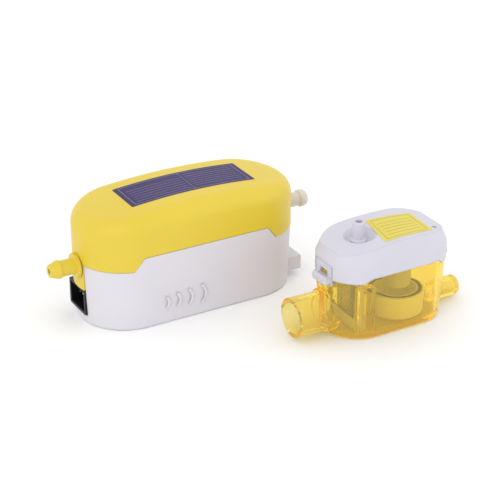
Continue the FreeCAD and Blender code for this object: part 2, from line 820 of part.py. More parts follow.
def circuit_board():
    """Control board on the posts of the base, with a tongue out to each socket."""
    body = new_body("circuit_board")
    plan = new_sketch(body, "XY", "board_height")
    left = SOCKET_BACK + " + seat_gap"
    right = PLUG_FACE + " - plug_block - seat_gap"
    polygon(plan, [
        ("-board_length / 2", "-board_width / 2"),
        ("board_length / 2", "-board_width / 2"),
        ("board_length / 2", "boss_side - plug_tongue / 2"),
        (right, "boss_side - plug_tongue / 2"),
        (right, "boss_side + plug_tongue / 2"),
        ("board_length / 2", "boss_side + plug_tongue / 2"),
        ("board_length / 2", "board_width / 2"),
        ("-board_length / 2", "board_width / 2"),
        ("-board_length / 2", "socket_side + board_tongue / 2"),
        (left, "socket_side + board_tongue / 2"),
        (left, "socket_side - board_tongue / 2"),
        ("-board_length / 2", "socket_side - board_tongue / 2")])
    slab = pad(body, plan, "board_thickness")
    side = number("board_width / 2")
    thick = number("board_thickness")
    rounded(body, slab, lambda edge: abs(abs(edge.BoundBox.YMin) - side) < 0.01
            and abs(edge.BoundBox.ZLength - thick) < 0.01, "board_corner")
    holes = new_sketch(body, "XY", "board_height - 1")
    for x in ("-post_x", "post_x"):
        for y in ("-post_y", "post_y"):
            circle(holes, x, y, "post_pin_radius + fit_gap")
    cut(body, holes, "board_thickness + 2", forward=True)
    return body


def relay():
    """Switching relay: moulded case on the board."""
    body = new_body("relay", x="relay_x", y="relay_y", z=BOARD_TOP)
    plan = new_sketch(body, "XY")
    rectangle(plan, "-relay_length / 2", "-relay_width / 2", "relay_length / 2", "relay_width / 2")
    case = pad(body, plan, "relay_height")
    rounded(body, case, lambda edge: edge.BoundBox.ZMax > 0.01, "relay_corner")
    return body


def capacitor():
    """Can with a crimp near its foot and a rolled top edge."""
    body = new_body("capacitor", x="capacitor_x", y="capacitor_y", z=BOARD_TOP)
    turned(body, [
        ("0", "0"),
        ("capacitor_radius - 0.3", "0"),
        ("capacitor_radius", "0.3"),
        ("capacitor_radius", "1.2"),
        ("capacitor_radius - 0.3", "1.5"),
        ("capacitor_radius", "1.8"),
        ("capacitor_radius", "capacitor_height - 0.5"),
        ("capacitor_radius - 0.5", "capacitor_height"),
        ("0", "capacitor_height")], "V_Axis")
    return body


def varistor():
    """Disc that stands on edge on two short leads."""
    body = new_body("varistor", x="varistor_x", y="varistor_y", z=BOARD_TOP)
    lift = "(varistor_radius + 1)"
    face = new_sketch(body, "YZ")
    circle(face, "0", lift, "varistor_radius")
    disc = pad(body, face, "varistor_thickness", both=True)
    rounded(body, disc, lambda edge: edge.BoundBox.XLength < 0.01, "varistor_thickness / 4")
    leads = new_sketch(body, "XY")
    for y in ("-varistor_radius / 2", "varistor_radius / 2"):
        circle(leads, "0", y, "terminal_pin_radius")
    pad(body, leads, "varistor_radius / 2")
    return body


def control_chip():
    """Flat chip with a row of bent legs on two sides."""
    body = new_body("control_chip", x="solenoid_middle", z=BOARD_TOP)
    plan = new_sketch(body, "XY", "0.15")
    rectangle(plan, "-chip_side / 2", "-chip_side / 2", "chip_side / 2", "chip_side / 2")
    pad(body, plan, "chip_height")
    for sign in ("-", ""):
        leg = new_sketch(body, "XZ", "chip_side / 2 - 1")
        polygon(leg, [
            (sign + "(chip_side / 2 - 0.2)", "chip_height / 2"),
            (sign + "(chip_side / 2 + 0.6)", "chip_height / 2"),
            (sign + "(chip_side / 2 + 0.8)", "0.2"),
            (sign + "(chip_side / 2 + 1.4)", "0.2"),
            (sign + "(chip_side / 2 + 1.4)", "0"),
            (sign + "(chip_side / 2 + 0.6)", "0"),
            (sign + "(chip_side / 2 + 0.4)", "chip_height / 2 - 0.2"),
            (sign + "(chip_side / 2 - 0.2)", "chip_height / 2 - 0.2")])
        foot = pad(body, leg, "0.4")
        row_of(body, foot, "N_Axis", 4, "chip_side - 2.4")
    return body


def fuse():
    """Glass fuse across the board, its two caps and the tube between them as one turned piece."""
    body = new_body("fuse", x="fuse_x", z=BOARD_TOP)
    sketch = new_sketch(body, "YZ")
    axis_height = "(fuse_radius + 0.1)"
    polygon(sketch, [
        ("-fuse_length / 2", axis_height),
        ("-fuse_length / 2", axis_height + " + fuse_radius"),
        ("-fuse_length / 2 + fuse_cap", axis_height + " + fuse_radius"),
        ("-fuse_length / 2 + fuse_cap", axis_height + " + fuse_radius - 0.2"),
        ("fuse_length / 2 - fuse_cap", axis_height + " + fuse_radius - 0.2"),
        ("fuse_length / 2 - fuse_cap", axis_height + " + fuse_radius"),
        ("fuse_length / 2", axis_height + " + fuse_radius"),
        ("fuse_length / 2", axis_height)])
    feature = body.newObject("PartDesign::Revolution", "fuse_turn")
    feature.Profile = sketch
    feature.ReferenceAxis = (sketch, ["Edge8"])
    feature.Angle = 360
    return body


def yoke_frame():
    """Steel strip bent to a closed frame round the coil, with a hole for the barrel at each end."""
    body = new_body("yoke_frame", x="solenoid_middle", z="pump_axis")
    side = new_sketch(body, "XZ")
    rectangle(side, "-yoke_length / 2", "-yoke_height / 2", "yoke_length / 2", "yoke_height / 2")
    window = new_sketch(body, "XZ")
    rectangle(window, "-yoke_length / 2 + yoke_thickness", "-yoke_height / 2 + yoke_thickness",
              "yoke_length / 2 - yoke_thickness", "yoke_height / 2 - yoke_thickness")
    strip = pad(body, side, "yoke_width", both=True)
    width = number("yoke_width")
    rounded(body, strip, lambda edge: abs(edge.BoundBox.YLength - width) < 0.01, "yoke_thickness")
    cut(body, window, "yoke_width + 2", both=True)
    hole = new_sketch(body, "YZ")
    circle(hole, "0", "0", "barrel_radius + fit_gap")
    cut(body, hole, "yoke_length + 2", both=True)
    return body


BOBBIN_REACH = "(yoke_length / 2 - yoke_thickness - seat_gap)"


def coil_bobbin():
    """Spool on the barrel, with an ear on each side of one flange for the terminal pins."""
    body = new_body("coil_bobbin", x="solenoid_middle", z="pump_axis")
    bore = "(barrel_radius + fit_gap)"
    turned(body, [
        ("-" + BOBBIN_REACH, bore),
        ("-" + BOBBIN_REACH, "bobbin_radius"),
        ("-" + BOBBIN_REACH + " + flange_thickness", "bobbin_radius"),
        ("-" + BOBBIN_REACH + " + flange_thickness", bore + " + bobbin_wall"),
        (BOBBIN_REACH + " - flange_thickness", bore + " + bobbin_wall"),
        (BOBBIN_REACH + " - flange_thickness", "bobbin_radius"),
        (BOBBIN_REACH, "bobbin_radius"),
        (BOBBIN_REACH, bore)])
    for sign in ("-", ""):
        ear = new_sketch(body, "YZ", "-" + BOBBIN_REACH)
        rectangle(ear, sign + "terminal_inner", "terminal_low - pump_axis",
                  sign + "terminal_outer", "terminal_high - pump_axis")
        pad(body, ear, "flange_thickness")
    return body


def coil_winding():
    """Enamelled copper wire, wound to an even cylinder between the flanges."""
    body = new_body("coil_winding", x="solenoid_middle", z="pump_axis")
    inner = "(barrel_radius + bobbin_wall + 2 * fit_gap)"
    reach = "(%s - flange_thickness - fit_gap)" % BOBBIN_REACH
    turned(body, [
        ("-" + reach, inner),
        ("-" + reach, "winding_radius"),
        (reach, "winding_radius"),
        (reach, inner)])
    return body


def terminal_pins():
    """Two straight pins from the ears of the bobbin down to the board."""
    body = new_body("terminal_pins", x="solenoid_middle", z=BOARD_TOP)
    plan = new_sketch(body, "XY")
    for sign in ("-", ""):
        circle(plan, "-%s + flange_thickness / 2" % BOBBIN_REACH,
               sign + "(terminal_inner + terminal_outer) / 2", "terminal_pin_radius")
    pad(body, plan, "terminal_low - " + BOARD_TOP)
    return body


def piston_barrel():
    """Thin drawn tube that the piston runs in."""
    body = new_body("piston_barrel", z="pump_axis")
    turned(body, [
        ("barrel_start", "barrel_bore"),
        ("barrel_start", "barrel_radius"),
        ("barrel_end", "barrel_radius"),
        ("barrel_end", "barrel_bore")])
    return body


def piston():
    """Magnetic steel piston, bored through, with a valve chamber at its outlet end."""
    body = new_body("piston", x="piston_middle", z="pump_axis")
    reach = "(piston_length / 2)"
    seat = "(piston_chamber - piston_length / 2)"
    turned(body, [
        ("-" + reach, "valve_chamber"),
        ("-" + reach, "piston_radius - 0.3"),
        ("-" + reach + " + 0.3", "piston_radius"),
        (reach + " - 0.3", "piston_radius"),
        (reach, "piston_radius - 0.3"),
        (reach, "piston_bore"),
        (seat + " + seat_wall + 1", "piston_bore"),
        (seat + " + seat_wall", "valve_seat"),
        (seat, "valve_seat"),
        (seat, "valve_chamber")])
    return body


# A ball on its seat: how far its centre stands off the seat's edge
BALL_STAND = "(sqrt(ball_radius ^ 2 - valve_seat ^ 2) + seat_gap)"
PISTON_SEAT = "(piston_middle + piston_chamber - piston_length / 2)"
OUTLET_SEAT = "(barrel_start - seat_wall)"
SHANK_TIP = "(barrel_start - seat_wall - outlet_chamber)"


def piston_cage():
    """Ring pressed into the piston's end, which holds the valve spring in."""
    body = new_body("piston_cage", x="piston_middle - piston_length / 2", z="pump_axis")
    turned(body, [
        ("0", "cage_bore"),
        ("0", "valve_chamber - fit_gap"),
        ("cage_thickness", "valve_chamber - fit_gap"),
        ("cage_thickness", "cage_bore")])
    return body


def cup_corners(face, wall, far):
    """Mouth of a pump head: a groove for the seal ring, then the close bore for the barrel."""
    sign = "+" if far else "-"
    groove = "(barrel_radius + 2 * ring_wire + fit_gap)"
    step = "(%s) %s 2 * (ring_wire + fit_gap)" % (face, sign)
    return [
        (face, groove),
        (step, groove),
        (step, "barrel_radius + fit_gap"),
        (wall, "barrel_radius + fit_gap")]


def outlet_head():
    """Head with the outlet valve's seat and chamber; its nose takes the shank of the barb."""
    body = new_body("outlet_head", z="pump_axis")
    face = "(barrel_start + head_cup)"
    nose = "(%s - shank_hold)" % SHANK_TIP
    turned(body, cup_corners(face, "barrel_start", False) + [
        ("barrel_start", "valve_seat"),
        (OUTLET_SEAT, "valve_seat"),
        (OUTLET_SEAT, "valve_chamber"),
        (SHANK_TIP, "valve_chamber"),
        (SHANK_TIP, "shank_radius + fit_gap"),
        (nose, "shank_radius + fit_gap"),
        (nose, "nose_radius"),
        (nose + " + nose_length", "nose_radius"),
        (nose + " + nose_length + 1", "head_radius"),
        (face, "head_radius")])
    return body


def inlet_head():
    """Head at the suction end, with a spigot for the inner hose."""
    body = new_body("inlet_head", z="pump_axis")
    face = "(barrel_end - head_cup)"
    shoulder = "(barrel_end - head_cup + inlet_head_length)"
    turned(body, cup_corners(face, "barrel_end", True) + [
        ("barrel_end", "inlet_bore"),
        (shoulder + " + hose_spigot_length", "inlet_bore"),
        (shoulder + " + hose_spigot_length", "hose_spigot - 0.3"),
        (shoulder + " + hose_spigot_length - 1.6", "hose_spigot"),
        (shoulder + " + hose_spigot_length - 1.6", "hose_spigot - 0.3"),
        (shoulder, "hose_spigot - 0.3"),
        (shoulder, "head_radius - 1"),
        (shoulder + " - 1", "head_radius"),
        (face, "head_radius")])
    return body


def barrel_seals():
    """Rubber rings in the mouths of the two heads."""
    body = new_body("barrel_seals", z="pump_axis")
    radius = "barrel_radius + fit_gap / 2 + ring_wire"
    stand = "ring_wire + fit_gap"
    ring(body, "barrel_start + head_cup - (%s)" % stand, radius, "ring_wire")
    ring(body, "barrel_end - head_cup + " + stand, radius, "ring_wire")
    return body


def rubber_mount(name, place):
    """Grommet on the barrel; the edge of a cradle sits in its groove and keeps the hum in."""
    body = new_body(name, x=place, z="pump_axis")
    half = "(mount_width / 2)"
    notch = "(cradle_thickness / 2 + fit_gap)"
    turned(body, [
        ("-" + half, "barrel_radius + fit_gap"),
        ("-" + half, "mount_radius - 0.6"),
        ("-" + half + " + 0.6", "mount_radius"),
        ("-" + notch, "mount_radius"),
        ("-" + notch, "mount_radius - mount_groove"),
        (notch, "mount_radius - mount_groove"),
        (notch, "mount_radius"),
        (half + " - 0.6", "mount_radius"),
        (half, "mount_radius - 0.6"),
        (half, "barrel_radius + fit_gap")])
    return body


def discharge_barb():
    """Outlet fitting: shank through the cover's tab into the pump, collar, stem and one barb."""
    body = new_body("discharge_barb", x="-pump_length / 2", z="pump_axis")
    inner = "(pump_length / 2 + %s - fit_gap)" % SHANK_TIP
    turned(body, [
        (inner, "barb_bore"),
        (inner, "shank_radius - 0.3"),
        (inner + " - 0.3", "shank_radius"),
        ("-seat_gap", "shank_radius"),
        ("-seat_gap", "barb_collar_radius"),
        ("-barb_collar", "barb_collar_radius"),
        ("-barb_collar - 0.5", "barb_stem_radius"),
        ("-barb_crest", "barb_stem_radius"),
        ("-barb_crest", "barb_crest_radius"),
        ("-barb_crest - 0.8", "barb_crest_radius"),
        ("-barb_reach", "barb_tip_radius"),
        ("-barb_reach", "barb_bore")])
    return body


INLET_INNER = "(-pump_wall - hose_spigot_length)"


def inlet_barb():
    """Inlet fitting of clear nylon: inner spigot for the hose, collar, stem and a rounded head."""
    body = new_body("inlet_barb", x="pump_length / 2", z="inlet_axis")
    turned(body, [
        (INLET_INNER, "inlet_bore"),
        (INLET_INNER, "hose_spigot - 0.3"),
        (INLET_INNER + " + 1.6", "hose_spigot"),
        (INLET_INNER + " + 1.6", "hose_spigot - 0.3"),
        ("-pump_wall - 0.6", "hose_spigot - 0.3"),
        ("-pump_wall", "inlet_stem_radius"),
        ("seat_gap", "inlet_stem_radius"),
        ("seat_gap", "inlet_collar_radius"),
        ("1", "inlet_collar_radius"),
        ("1.4", "inlet_stem_radius"),
        ("inlet_reach - 4.2", "inlet_stem_radius"),
        ("inlet_reach - 3.6", "inlet_head_radius"),
        ("inlet_reach - 1.6", "inlet_head_radius"),
        ("inlet_reach - 0.5", "inlet_head_radius - 0.6"),
        ("inlet_reach", "inlet_head_radius - 1.5"),
        ("inlet_reach", "inlet_bore")])
    return body


def inlet_hose():
    """Short moulded hose that steps up from the pump's axis to the inlet fitting."""
    body = new_body("inlet_hose")
    shoulder = "(barrel_end - head_cup + inlet_head_length)"
    stops = [
        (shoulder + " + 0.4", "pump_axis"),
        (shoulder + " + hose_spigot_length", "pump_axis"),
        ("pump_length / 2 - pump_wall - hose_spigot_length", "inlet_axis"),
        ("pump_length / 2 - pump_wall - 0.4", "inlet_axis")]
    start, first, last, end = [Vector(number(x), number(z), 0) for x, z in stops]
    run = last.x - first.x
    rise = last.y - first.y
    radius = (run ** 2 + rise ** 2) / (4 * rise)
    half_turn = math.asin(run / 2 / radius) / 2
    swing = Vector(radius * math.sin(half_turn), radius * (1 - math.cos(half_turn)), 0)
    path = new_sketch(body, "XZ")
    middle = (first + last) / 2
    inlet = path.addGeometry(Part.LineSegment(start, first))
    rising = path.addGeometry(Part.Arc(first, first + swing, middle))
    falling = path.addGeometry(Part.Arc(middle, last - swing, last))
    outlet = path.addGeometry(Part.LineSegment(last, end))
    near = 1 if (path.getPoint(rising, 1) - first).Length < 0.001 else 2
    far = 1 if (path.getPoint(falling, 1) - middle).Length < 0.001 else 2
    path.addConstraint(Sketcher.Constraint("Tangent", inlet, 2, rising, near))
    path.addConstraint(Sketcher.Constraint("Tangent", rising, 3 - near, falling, far))
    path.addConstraint(Sketcher.Constraint("Tangent", falling, 3 - far, outlet, 1))
    path.addConstraint(Sketcher.Constraint("Equal", rising, falling))
    hold_point(path, inlet, 1, *stops[0])
    hold_point(path, inlet, 2, *stops[1])
    hold_point(path, outlet, 1, *stops[2])
    hold_point(path, outlet, 2, *stops[3])
    section = new_sketch(body, "YZ", stops[0][0])
    circle(section, "0", "pump_axis", "hose_radius")
    circle(section, "0", "pump_axis", "hose_bore")
    pipe = body.newObject("PartDesign::AdditivePipe", "inlet_hose_pipe")
    pipe.Profile = section
    pipe.Spine = path
    return body


# The reservoir's pieces share one origin: the centre of the tank's foot.
def reservoir_body(name, x="0", y="0", z="0", keep=True):
    return new_body(name, "reservoir_x + (%s)" % x, "reservoir_y + (%s)" % y, z, keep)


RIM_INSET = "(lid_wall + rim_gap)"
RIM_INNER = "(lid_wall + rim_gap + rim_wall)"


def flat_ends(body, foot, high, top):
    """Cut both ends flat, leaning in from the inset at top down to the inset at the foot."""
    for side in ("-", ""):
        wedge = new_sketch(body, "XZ")
        polygon(wedge, [
            ("%s(%s)" % (side, foot), "-1"),
            ("%s(%s)" % (side, foot), "0"),
            ("%s(%s)" % (side, high), top),
            ("%s(%s)" % (side, high), "lid_crown"),
            (side + "tank_length", "lid_crown"),
            (side + "tank_length", "-1")])
        cut(body, wedge, "2 * tank_width", both=True)


def reservoir_tank():
    """Amber tank: drafted, flat where the lid's latches are, with rim, catches, spigot and drain stub."""
    hollow = new_body("tank_hollow", keep=False)
    tapered(hollow, "tank_length - 2 * " + RIM_INNER, "tank_width - 2 * " + RIM_INNER, "tank_floor",
            "rim_top + 1", "tank_draft + lid_gap + tank_wall - " + RIM_INNER, "tank_foot_radius")
    flat_ends(hollow, "tank_foot_flat - tank_wall", "tank_flat - " + RIM_INNER, "rim_top")
    guides = new_sketch(hollow, "XY", "tank_floor - 1")
    slot = "(filter_thickness / 2 + filter_gap)"
    for low, high in (("guide_inner", "tank_width"), ("-tank_width", "-guide_inner")):
        rectangle(guides, "filter_x + " + slot, low, "filter_x + %s + guide_pillar" % slot, high)
        rectangle(guides, "filter_x - %s - guide_rib" % slot, low, "filter_x - " + slot, high)
    cut(hollow, guides, "guide_top - tank_floor + 1", forward=True)

    body = reservoir_body("reservoir_tank")
    tapered(body, "tank_length - 2 * lid_gap", "tank_width - 2 * lid_gap", "0", "lid_high - seam_gap",
            "tank_draft", "tank_foot_radius")
    flat_ends(body, "tank_foot_flat", "tank_flat - lid_gap", "lid_low")
    for low, high, end in (("lid_step_left_low", "lid_step_left_high", "-tank_length"),
                           ("lid_step_right_low", "lid_step_right_high", "tank_length")):
        ledge = new_sketch(body, "XZ")
        polygon(ledge, [
            (high, "lid_high + 1"),
            (high, "lid_high - seam_gap"),
            (low, "lid_low - seam_gap"),
            (end, "lid_low - seam_gap"),
            (end, "lid_high + 1")])
        cut(body, ledge, "2 * tank_width", both=True)
    rim = new_sketch(body, "XY", "lid_low - 4")
    stadium(rim, "tank_length - 2 * " + RIM_INSET, "tank_width - 2 * " + RIM_INSET)
    pad(body, rim, "rim_top - lid_low + 4")
    for side in ("-", ""):
        ends = new_sketch(body, "XZ")
        rectangle(ends, "%s(tank_flat - %s)" % (side, RIM_INSET), "lid_low - seam_gap",
                  side + "tank_length", "rim_top + 1")
        cut(body, ends, "2 * tank_width", both=True)
        recess = new_sketch(body, "XZ")
        rectangle(recess, "%s(tank_flat - tongue_thickness - rim_gap)" % side, "tongue_foot - rim_gap",
                  side + "tank_length", "lid_low + 1")
        cut(body, recess, "2 * (tongue_half_width + tongue_gap)", both=True)
    less(body, hollow)
    for side in ("-", ""):
        catch = new_sketch(body, "XZ")
        root = "%s(tank_flat - %s - rim_wall / 2)" % (side, RIM_INSET)
        tip = "%s(tank_flat - %s + catch_reach)" % (side, RIM_INSET)
        polygon(catch, [
            (root, "catch_low"),
            (tip, "catch_low"),
            (tip, "catch_low + 0.4"),
            ("%s(tank_flat - %s)" % (side, RIM_INSET), "catch_high"),
            (root, "catch_high")])
        pad(body, catch, "2 * catch_half_width", both=True)
    spigot = new_sketch(body, "YZ", "-spigot_tip")
    circle(spigot, "0", "spigot_axis", "spigot_radius")
    pad(body, spigot, "spigot_tip - tank_foot_flat + tank_wall / 2")
    collar = new_sketch(body, "YZ", "-collar_tip")
    circle(collar, "0", "spigot_axis", "collar_radius")
    pad(body, collar, "collar_tip - tank_foot_flat + tank_wall / 2")
    bore = new_sketch(body, "YZ", "-spigot_tip - 1")
    circle(bore, "0", "spigot_axis", "spigot_bore")
    cut(body, bore, "spigot_tip - tank_foot_flat + 2 * tank_wall + 1", forward=True)
    stub = new_sketch(body, "YZ", "stub_tip")
    circle(stub, "0", "stub_axis", "stub_radius")
    stub_pad = pad(body, stub, "stub_tip - tank_foot_flat + tank_wall / 2", back=True)
    tip = number("stub_tip")
    rounded(body, stub_pad, lambda edge: edge.BoundBox.XMin > tip - 0.01, "stub_cap")
    blind = new_sketch(body, "YZ", "tank_foot_flat - 2 * tank_wall")
    circle(blind, "0", "stub_axis", "stub_bore")
    cut(body, blind, "stub_tip - stub_cap - tank_foot_flat + 2 * tank_wall", forward=True)
    return body


def lid_block(body, inset, low, drop, top, radius):
    """Outside (or, inset, inside) of the lid: skirt, sloping shoulder, end ramps and crowned top."""
    skirt = new_sketch(body, "XY", low)
    length = "tank_length - 2 * (%s)" % inset
    width = "tank_width - 2 * (%s)" % inset
    stadium(skirt, length, width)
    shoulder = "(lid_shoulder - (%s) / 2)" % inset
    pad(body, skirt, "%s - (%s)" % (shoulder, low))
    wide = new_sketch(body, "XY", shoulder)
    stadium(wide, length, width)
    narrow = new_sketch(body, "XY", "lid_crown - (%s)" % drop)
    stadium(narrow, "lid_top_length - 1.6 * (%s)" % inset, "lid_top_width - 1.6 * (%s)" % inset)
    slope = body.newObject("PartDesign::AdditiveLoft", body.Name + "_loft")
    slope.Profile = wide
    slope.Sections = [narrow]
    slope.Ruled = True
    flat = "(tank_flat - (%s))" % inset
    foot = "(ramp_foot - (%s) * (1 / cos(ramp_slope) - tan(ramp_slope)))" % inset
    run = "(tank_flat / 2)"
    for side in ("-", ""):
        ramp = new_sketch(body, "XZ")
        polygon(ramp, [
            (side + flat, "(%s) - 1" % low),
            (side + flat, foot),
            ("%s(%s - %s)" % (side, flat, run), "%s + %s * tan(ramp_slope)" % (foot, run)),
            (side + "tank_length", "%s + %s * tan(ramp_slope)" % (foot, run)),
            (side + "tank_length", "(%s) - 1" % low)])
        cut(body, ramp, "2 * tank_width", both=True)
    return crown_cut(body, "lid_crown_middle", top, radius, "1.5 * tank_length", "lid_crown + 4")


def reservoir_lid():
    """White lid: crowned top, stepped lower edge, and an opening at each end for a latch."""
    hollow = new_body("lid_hollow", keep=False)
    lid_block(hollow, "lid_wall", "lid_low - 2", "lid_wall", "lid_crown - lid_wall", "lid_crown_radius - lid_wall")
    under = new_sketch(hollow, "XY", "dish_under")
    circle(under, "suction_x", "0", "dish_radius + 1")
    cut(hollow, under, "lid_crown", forward=True)

    body = reservoir_body("reservoir_lid")
    lid_block(body, "0", "lid_low", "0", "lid_crown", "lid_crown_radius")
    less(body, hollow)
    seam = new_sketch(body, "XZ")
    polygon(seam, [
        ("lid_step_left_low", "lid_low"),
        ("lid_step_left_high", "lid_high"),
        ("lid_step_right_high", "lid_high"),
        ("lid_step_right_low", "lid_low"),
        ("lid_step_right_low", "lid_low - 2"),
        ("lid_step_left_low", "lid_low - 2")])
    cut(body, seam, "2 * tank_width", both=True)
    for side in ("-", ""):
        window = new_sketch(body, "XZ")
        rectangle(window, "%s(tank_flat - lid_wall - 1)" % side, "lid_low - 1",
                  side + "tank_length", "tongue_top + fit_gap")
        cut(body, window, "2 * (tongue_half_width + tongue_gap)", both=True)
    dish = new_sketch(body, "XZ")
    polygon(dish, [
        ("suction_x", "dish_floor"),
        ("suction_x + dish_floor_radius", "dish_floor"),
        ("suction_x + dish_radius", "lid_crown"),
        ("suction_x", "lid_crown")])
    groove = body.newObject("PartDesign::Groove", "lid_dish")
    groove.Profile = dish
    groove.ReferenceAxis = (dish, ["Edge4"])
    groove.Angle = 360
    holes = new_sketch(body, "XY", "dish_under - 1")
    circle(holes, "suction_x", "0", "suction_radius + fit_gap")
    circle(holes, "vent_x", "vent_y", "vent_radius")
    cut(body, holes, "lid_crown", forward=True)
    return body


def latch(name, side):
    """Springy tongue at one end of the lid, with a window that snaps over the tank's catch."""
    body = reservoir_body(name)
    outer = side + "tank_flat"
    tongue = new_sketch(body, "XZ")
    rectangle(tongue, outer, "tongue_foot", "%s(tank_flat - tongue_thickness)" % side, "tongue_top")
    pad(body, tongue, "2 * tongue_half_width", both=True)
    lip = new_sketch(body, "XZ")
    polygon(lip, [
        ("%s(tank_flat - tongue_thickness / 2)" % side, "lip_low"),
        ("%s(tank_flat + lip_reach)" % side, "lip_low"),
        ("%s(tank_flat + lip_reach)" % side, "lip_high - lip_reach / 3"),
        ("%s(tank_flat + lip_reach / 2)" % side, "lip_high"),
        ("%s(tank_flat - tongue_thickness / 2)" % side, "lip_high")])
    grip = pad(body, lip, "2 * lip_half_width", both=True)
    tip = number("tank_flat + lip_reach")
    rounded(body, grip, lambda edge: abs(abs(edge.BoundBox.XMin) - tip) < 0.01
            and edge.BoundBox.XLength < 0.01 and edge.BoundBox.YLength < 0.01, "lip_corner")
    window = new_sketch(body, "YZ", outer + (" - 1" if side else " + 1"))
    rectangle(window, "-catch_half_width - catch_gap", "catch_low - catch_gap",
              "catch_half_width + catch_gap", "catch_high + catch_gap")
    cut(body, window, "tongue_thickness + 2", forward=bool(side))
    return body


def sensor_well():
    """Closed tube under the lid that keeps the float's sensors dry; the float's hole goes round it."""
    body = reservoir_body("sensor_well", x="float_x", y="float_y")
    top = "(lid_crown - lid_wall - 0.8)"
    turned(body, [
        ("0", "well_foot"),
        ("well_radius - 0.8", "well_foot"),
        ("well_radius", "well_foot + 0.8"),
        ("well_radius", top + " - 1"),
        ("well_flange", top + " - 1"),
        ("well_flange", top),
        ("well_radius - well_wall", top),
        ("well_radius - well_wall", "well_foot + well_wall"),
        ("0", "well_foot + well_wall")], "V_Axis")
    return body


def sensor_board():
    body = reservoir_body("sensor_board", x="float_x", y="float_y", z="well_foot + well_wall + seat_gap")
    plan = new_sketch(body, "XY")
    rectangle(plan, "-sensor_board_width / 2", "0", "sensor_board_width / 2", "sensor_board_thickness")
    pad(body, plan, "sensor_board_length")
    return body


def level_sensors():
    """Three sensors up the front of the board: pump on, pump off and high-level alarm."""
    body = reservoir_body("level_sensors", x="float_x", y="float_y", z="well_foot + well_wall + seat_gap")
    face = new_sketch(body, "XZ")
    rectangle(face, "-sensor_side / 2", "sensor_side / 4", "sensor_side / 2", "sensor_side * 5 / 4")
    chip = pad(body, face, "sensor_thickness")
    row_of(body, chip, "V_Axis", 3, "2 * sensor_pitch")
    return body


def float_ring():
    """Foam ring that rides up round the sensor tube, with a groove in its top for the magnet."""
    body = reservoir_body("float_ring", x="float_x", y="float_y", z="tank_floor + seat_gap")
    turned(body, [
        ("float_bore", "0.4"),
        ("float_bore + 0.4", "0"),
        ("float_radius - 0.6", "0"),
        ("float_radius", "0.6"),
        ("float_radius", "float_height - 0.4"),
        ("float_radius - 0.4", "float_height"),
        ("magnet_outer + fit_gap", "float_height"),
        ("magnet_outer + fit_gap", "float_height - magnet_height"),
        ("magnet_inner - fit_gap", "float_height - magnet_height"),
        ("magnet_inner - fit_gap", "float_height"),
        ("float_bore", "float_height")], "V_Axis")
    return body


def float_magnet():
    body = reservoir_body("float_magnet", x="float_x", y="float_y",
                          z="tank_floor + seat_gap + float_height - magnet_height + fit_gap")
    turned(body, [
        ("magnet_inner", "0"),
        ("magnet_outer", "0"),
        ("magnet_outer", "magnet_height - 2 * fit_gap"),
        ("magnet_inner", "magnet_height - 2 * fit_gap")], "V_Axis")
    return body


def filter_frame():
    """Frame of the dirt screen: a sill that holds back sludge, and a window above it."""
    body = reservoir_body("filter_frame", x="filter_x")
    outer = new_sketch(body, "YZ")
    rectangle(outer, "-filter_half_width", "tank_floor + seat_gap", "filter_half_width", "filter_top")
    pad(body, outer, "filter_thickness", both=True)
    window = new_sketch(body, "YZ")
    rectangle(window, "-filter_half_width + filter_border", "tank_floor + filter_sill",
              "filter_half_width - filter_border", "filter_top - filter_border")
    cut(body, window, "filter_thickness + 1", both=True)
    return body


def filter_screen():
    """Perforated sheet in the window of the frame."""
    body = reservoir_body("filter_screen", x="filter_x")
    half = "(filter_half_width - filter_border - fit_gap)"
    low = "(tank_floor + filter_sill + fit_gap)"
    high = "(filter_top - filter_border - fit_gap)"
    sheet_plan = new_sketch(body, "YZ")
    rectangle(sheet_plan, "-" + half, low, half, high)
    pad(body, sheet_plan, "screen_thickness", both=True)
    across = int(number("(2 * %s - 0.6) / screen_pitch" % half))
    up = int(number("(%s - %s - 0.6) / screen_pitch" % (high, low)))
    first = new_sketch(body, "YZ")
    left = "(-%d / 2 * screen_pitch + (screen_pitch - screen_hole) / 2)" % across
    foot = "((%s + %s) / 2 - %d / 2 * screen_pitch + (screen_pitch - screen_hole) / 2)" % (low, high, up)
    rectangle(first, left, foot, left + " + screen_hole", foot + " + screen_hole")
    hole = cut(body, first, "screen_thickness + 1", both=True)
    grid = body.newObject("PartDesign::MultiTransform", "filter_screen_grid")
    rows = []
    for direction, count in (("H_Axis", across), ("V_Axis", up)):
        pattern = doc.addObject("PartDesign::LinearPattern", "filter_screen_row")
        pattern.Direction = (first, [direction])
        pattern.Occurrences = count
        bind(pattern, "Length", "%d * screen_pitch" % (count - 1))
        rows.append(pattern)
    grid.Originals = [hole]
    grid.Transformations = rows
    body.Tip = grid
    return body


def suction_tube():
    """Nipple on the lid for the suction tube, in one piece with the dip tube below it."""
    body = reservoir_body("suction_tube", x="suction_x")
    turned(body, [
        ("suction_bore", "suction_foot"),
        ("suction_radius", "suction_foot"),
        ("suction_radius", "dish_floor + fit_gap"),
        ("suction_radius + 0.8", "dish_floor + fit_gap"),
        ("suction_radius + 0.8", "dish_floor + 0.6"),
        ("suction_radius", "dish_floor + 1.4"),
        ("suction_radius", "suction_top - 0.4"),
        ("suction_radius - 0.4", "suction_top"),
        ("suction_bore", "suction_top")], "V_Axis")
    return body


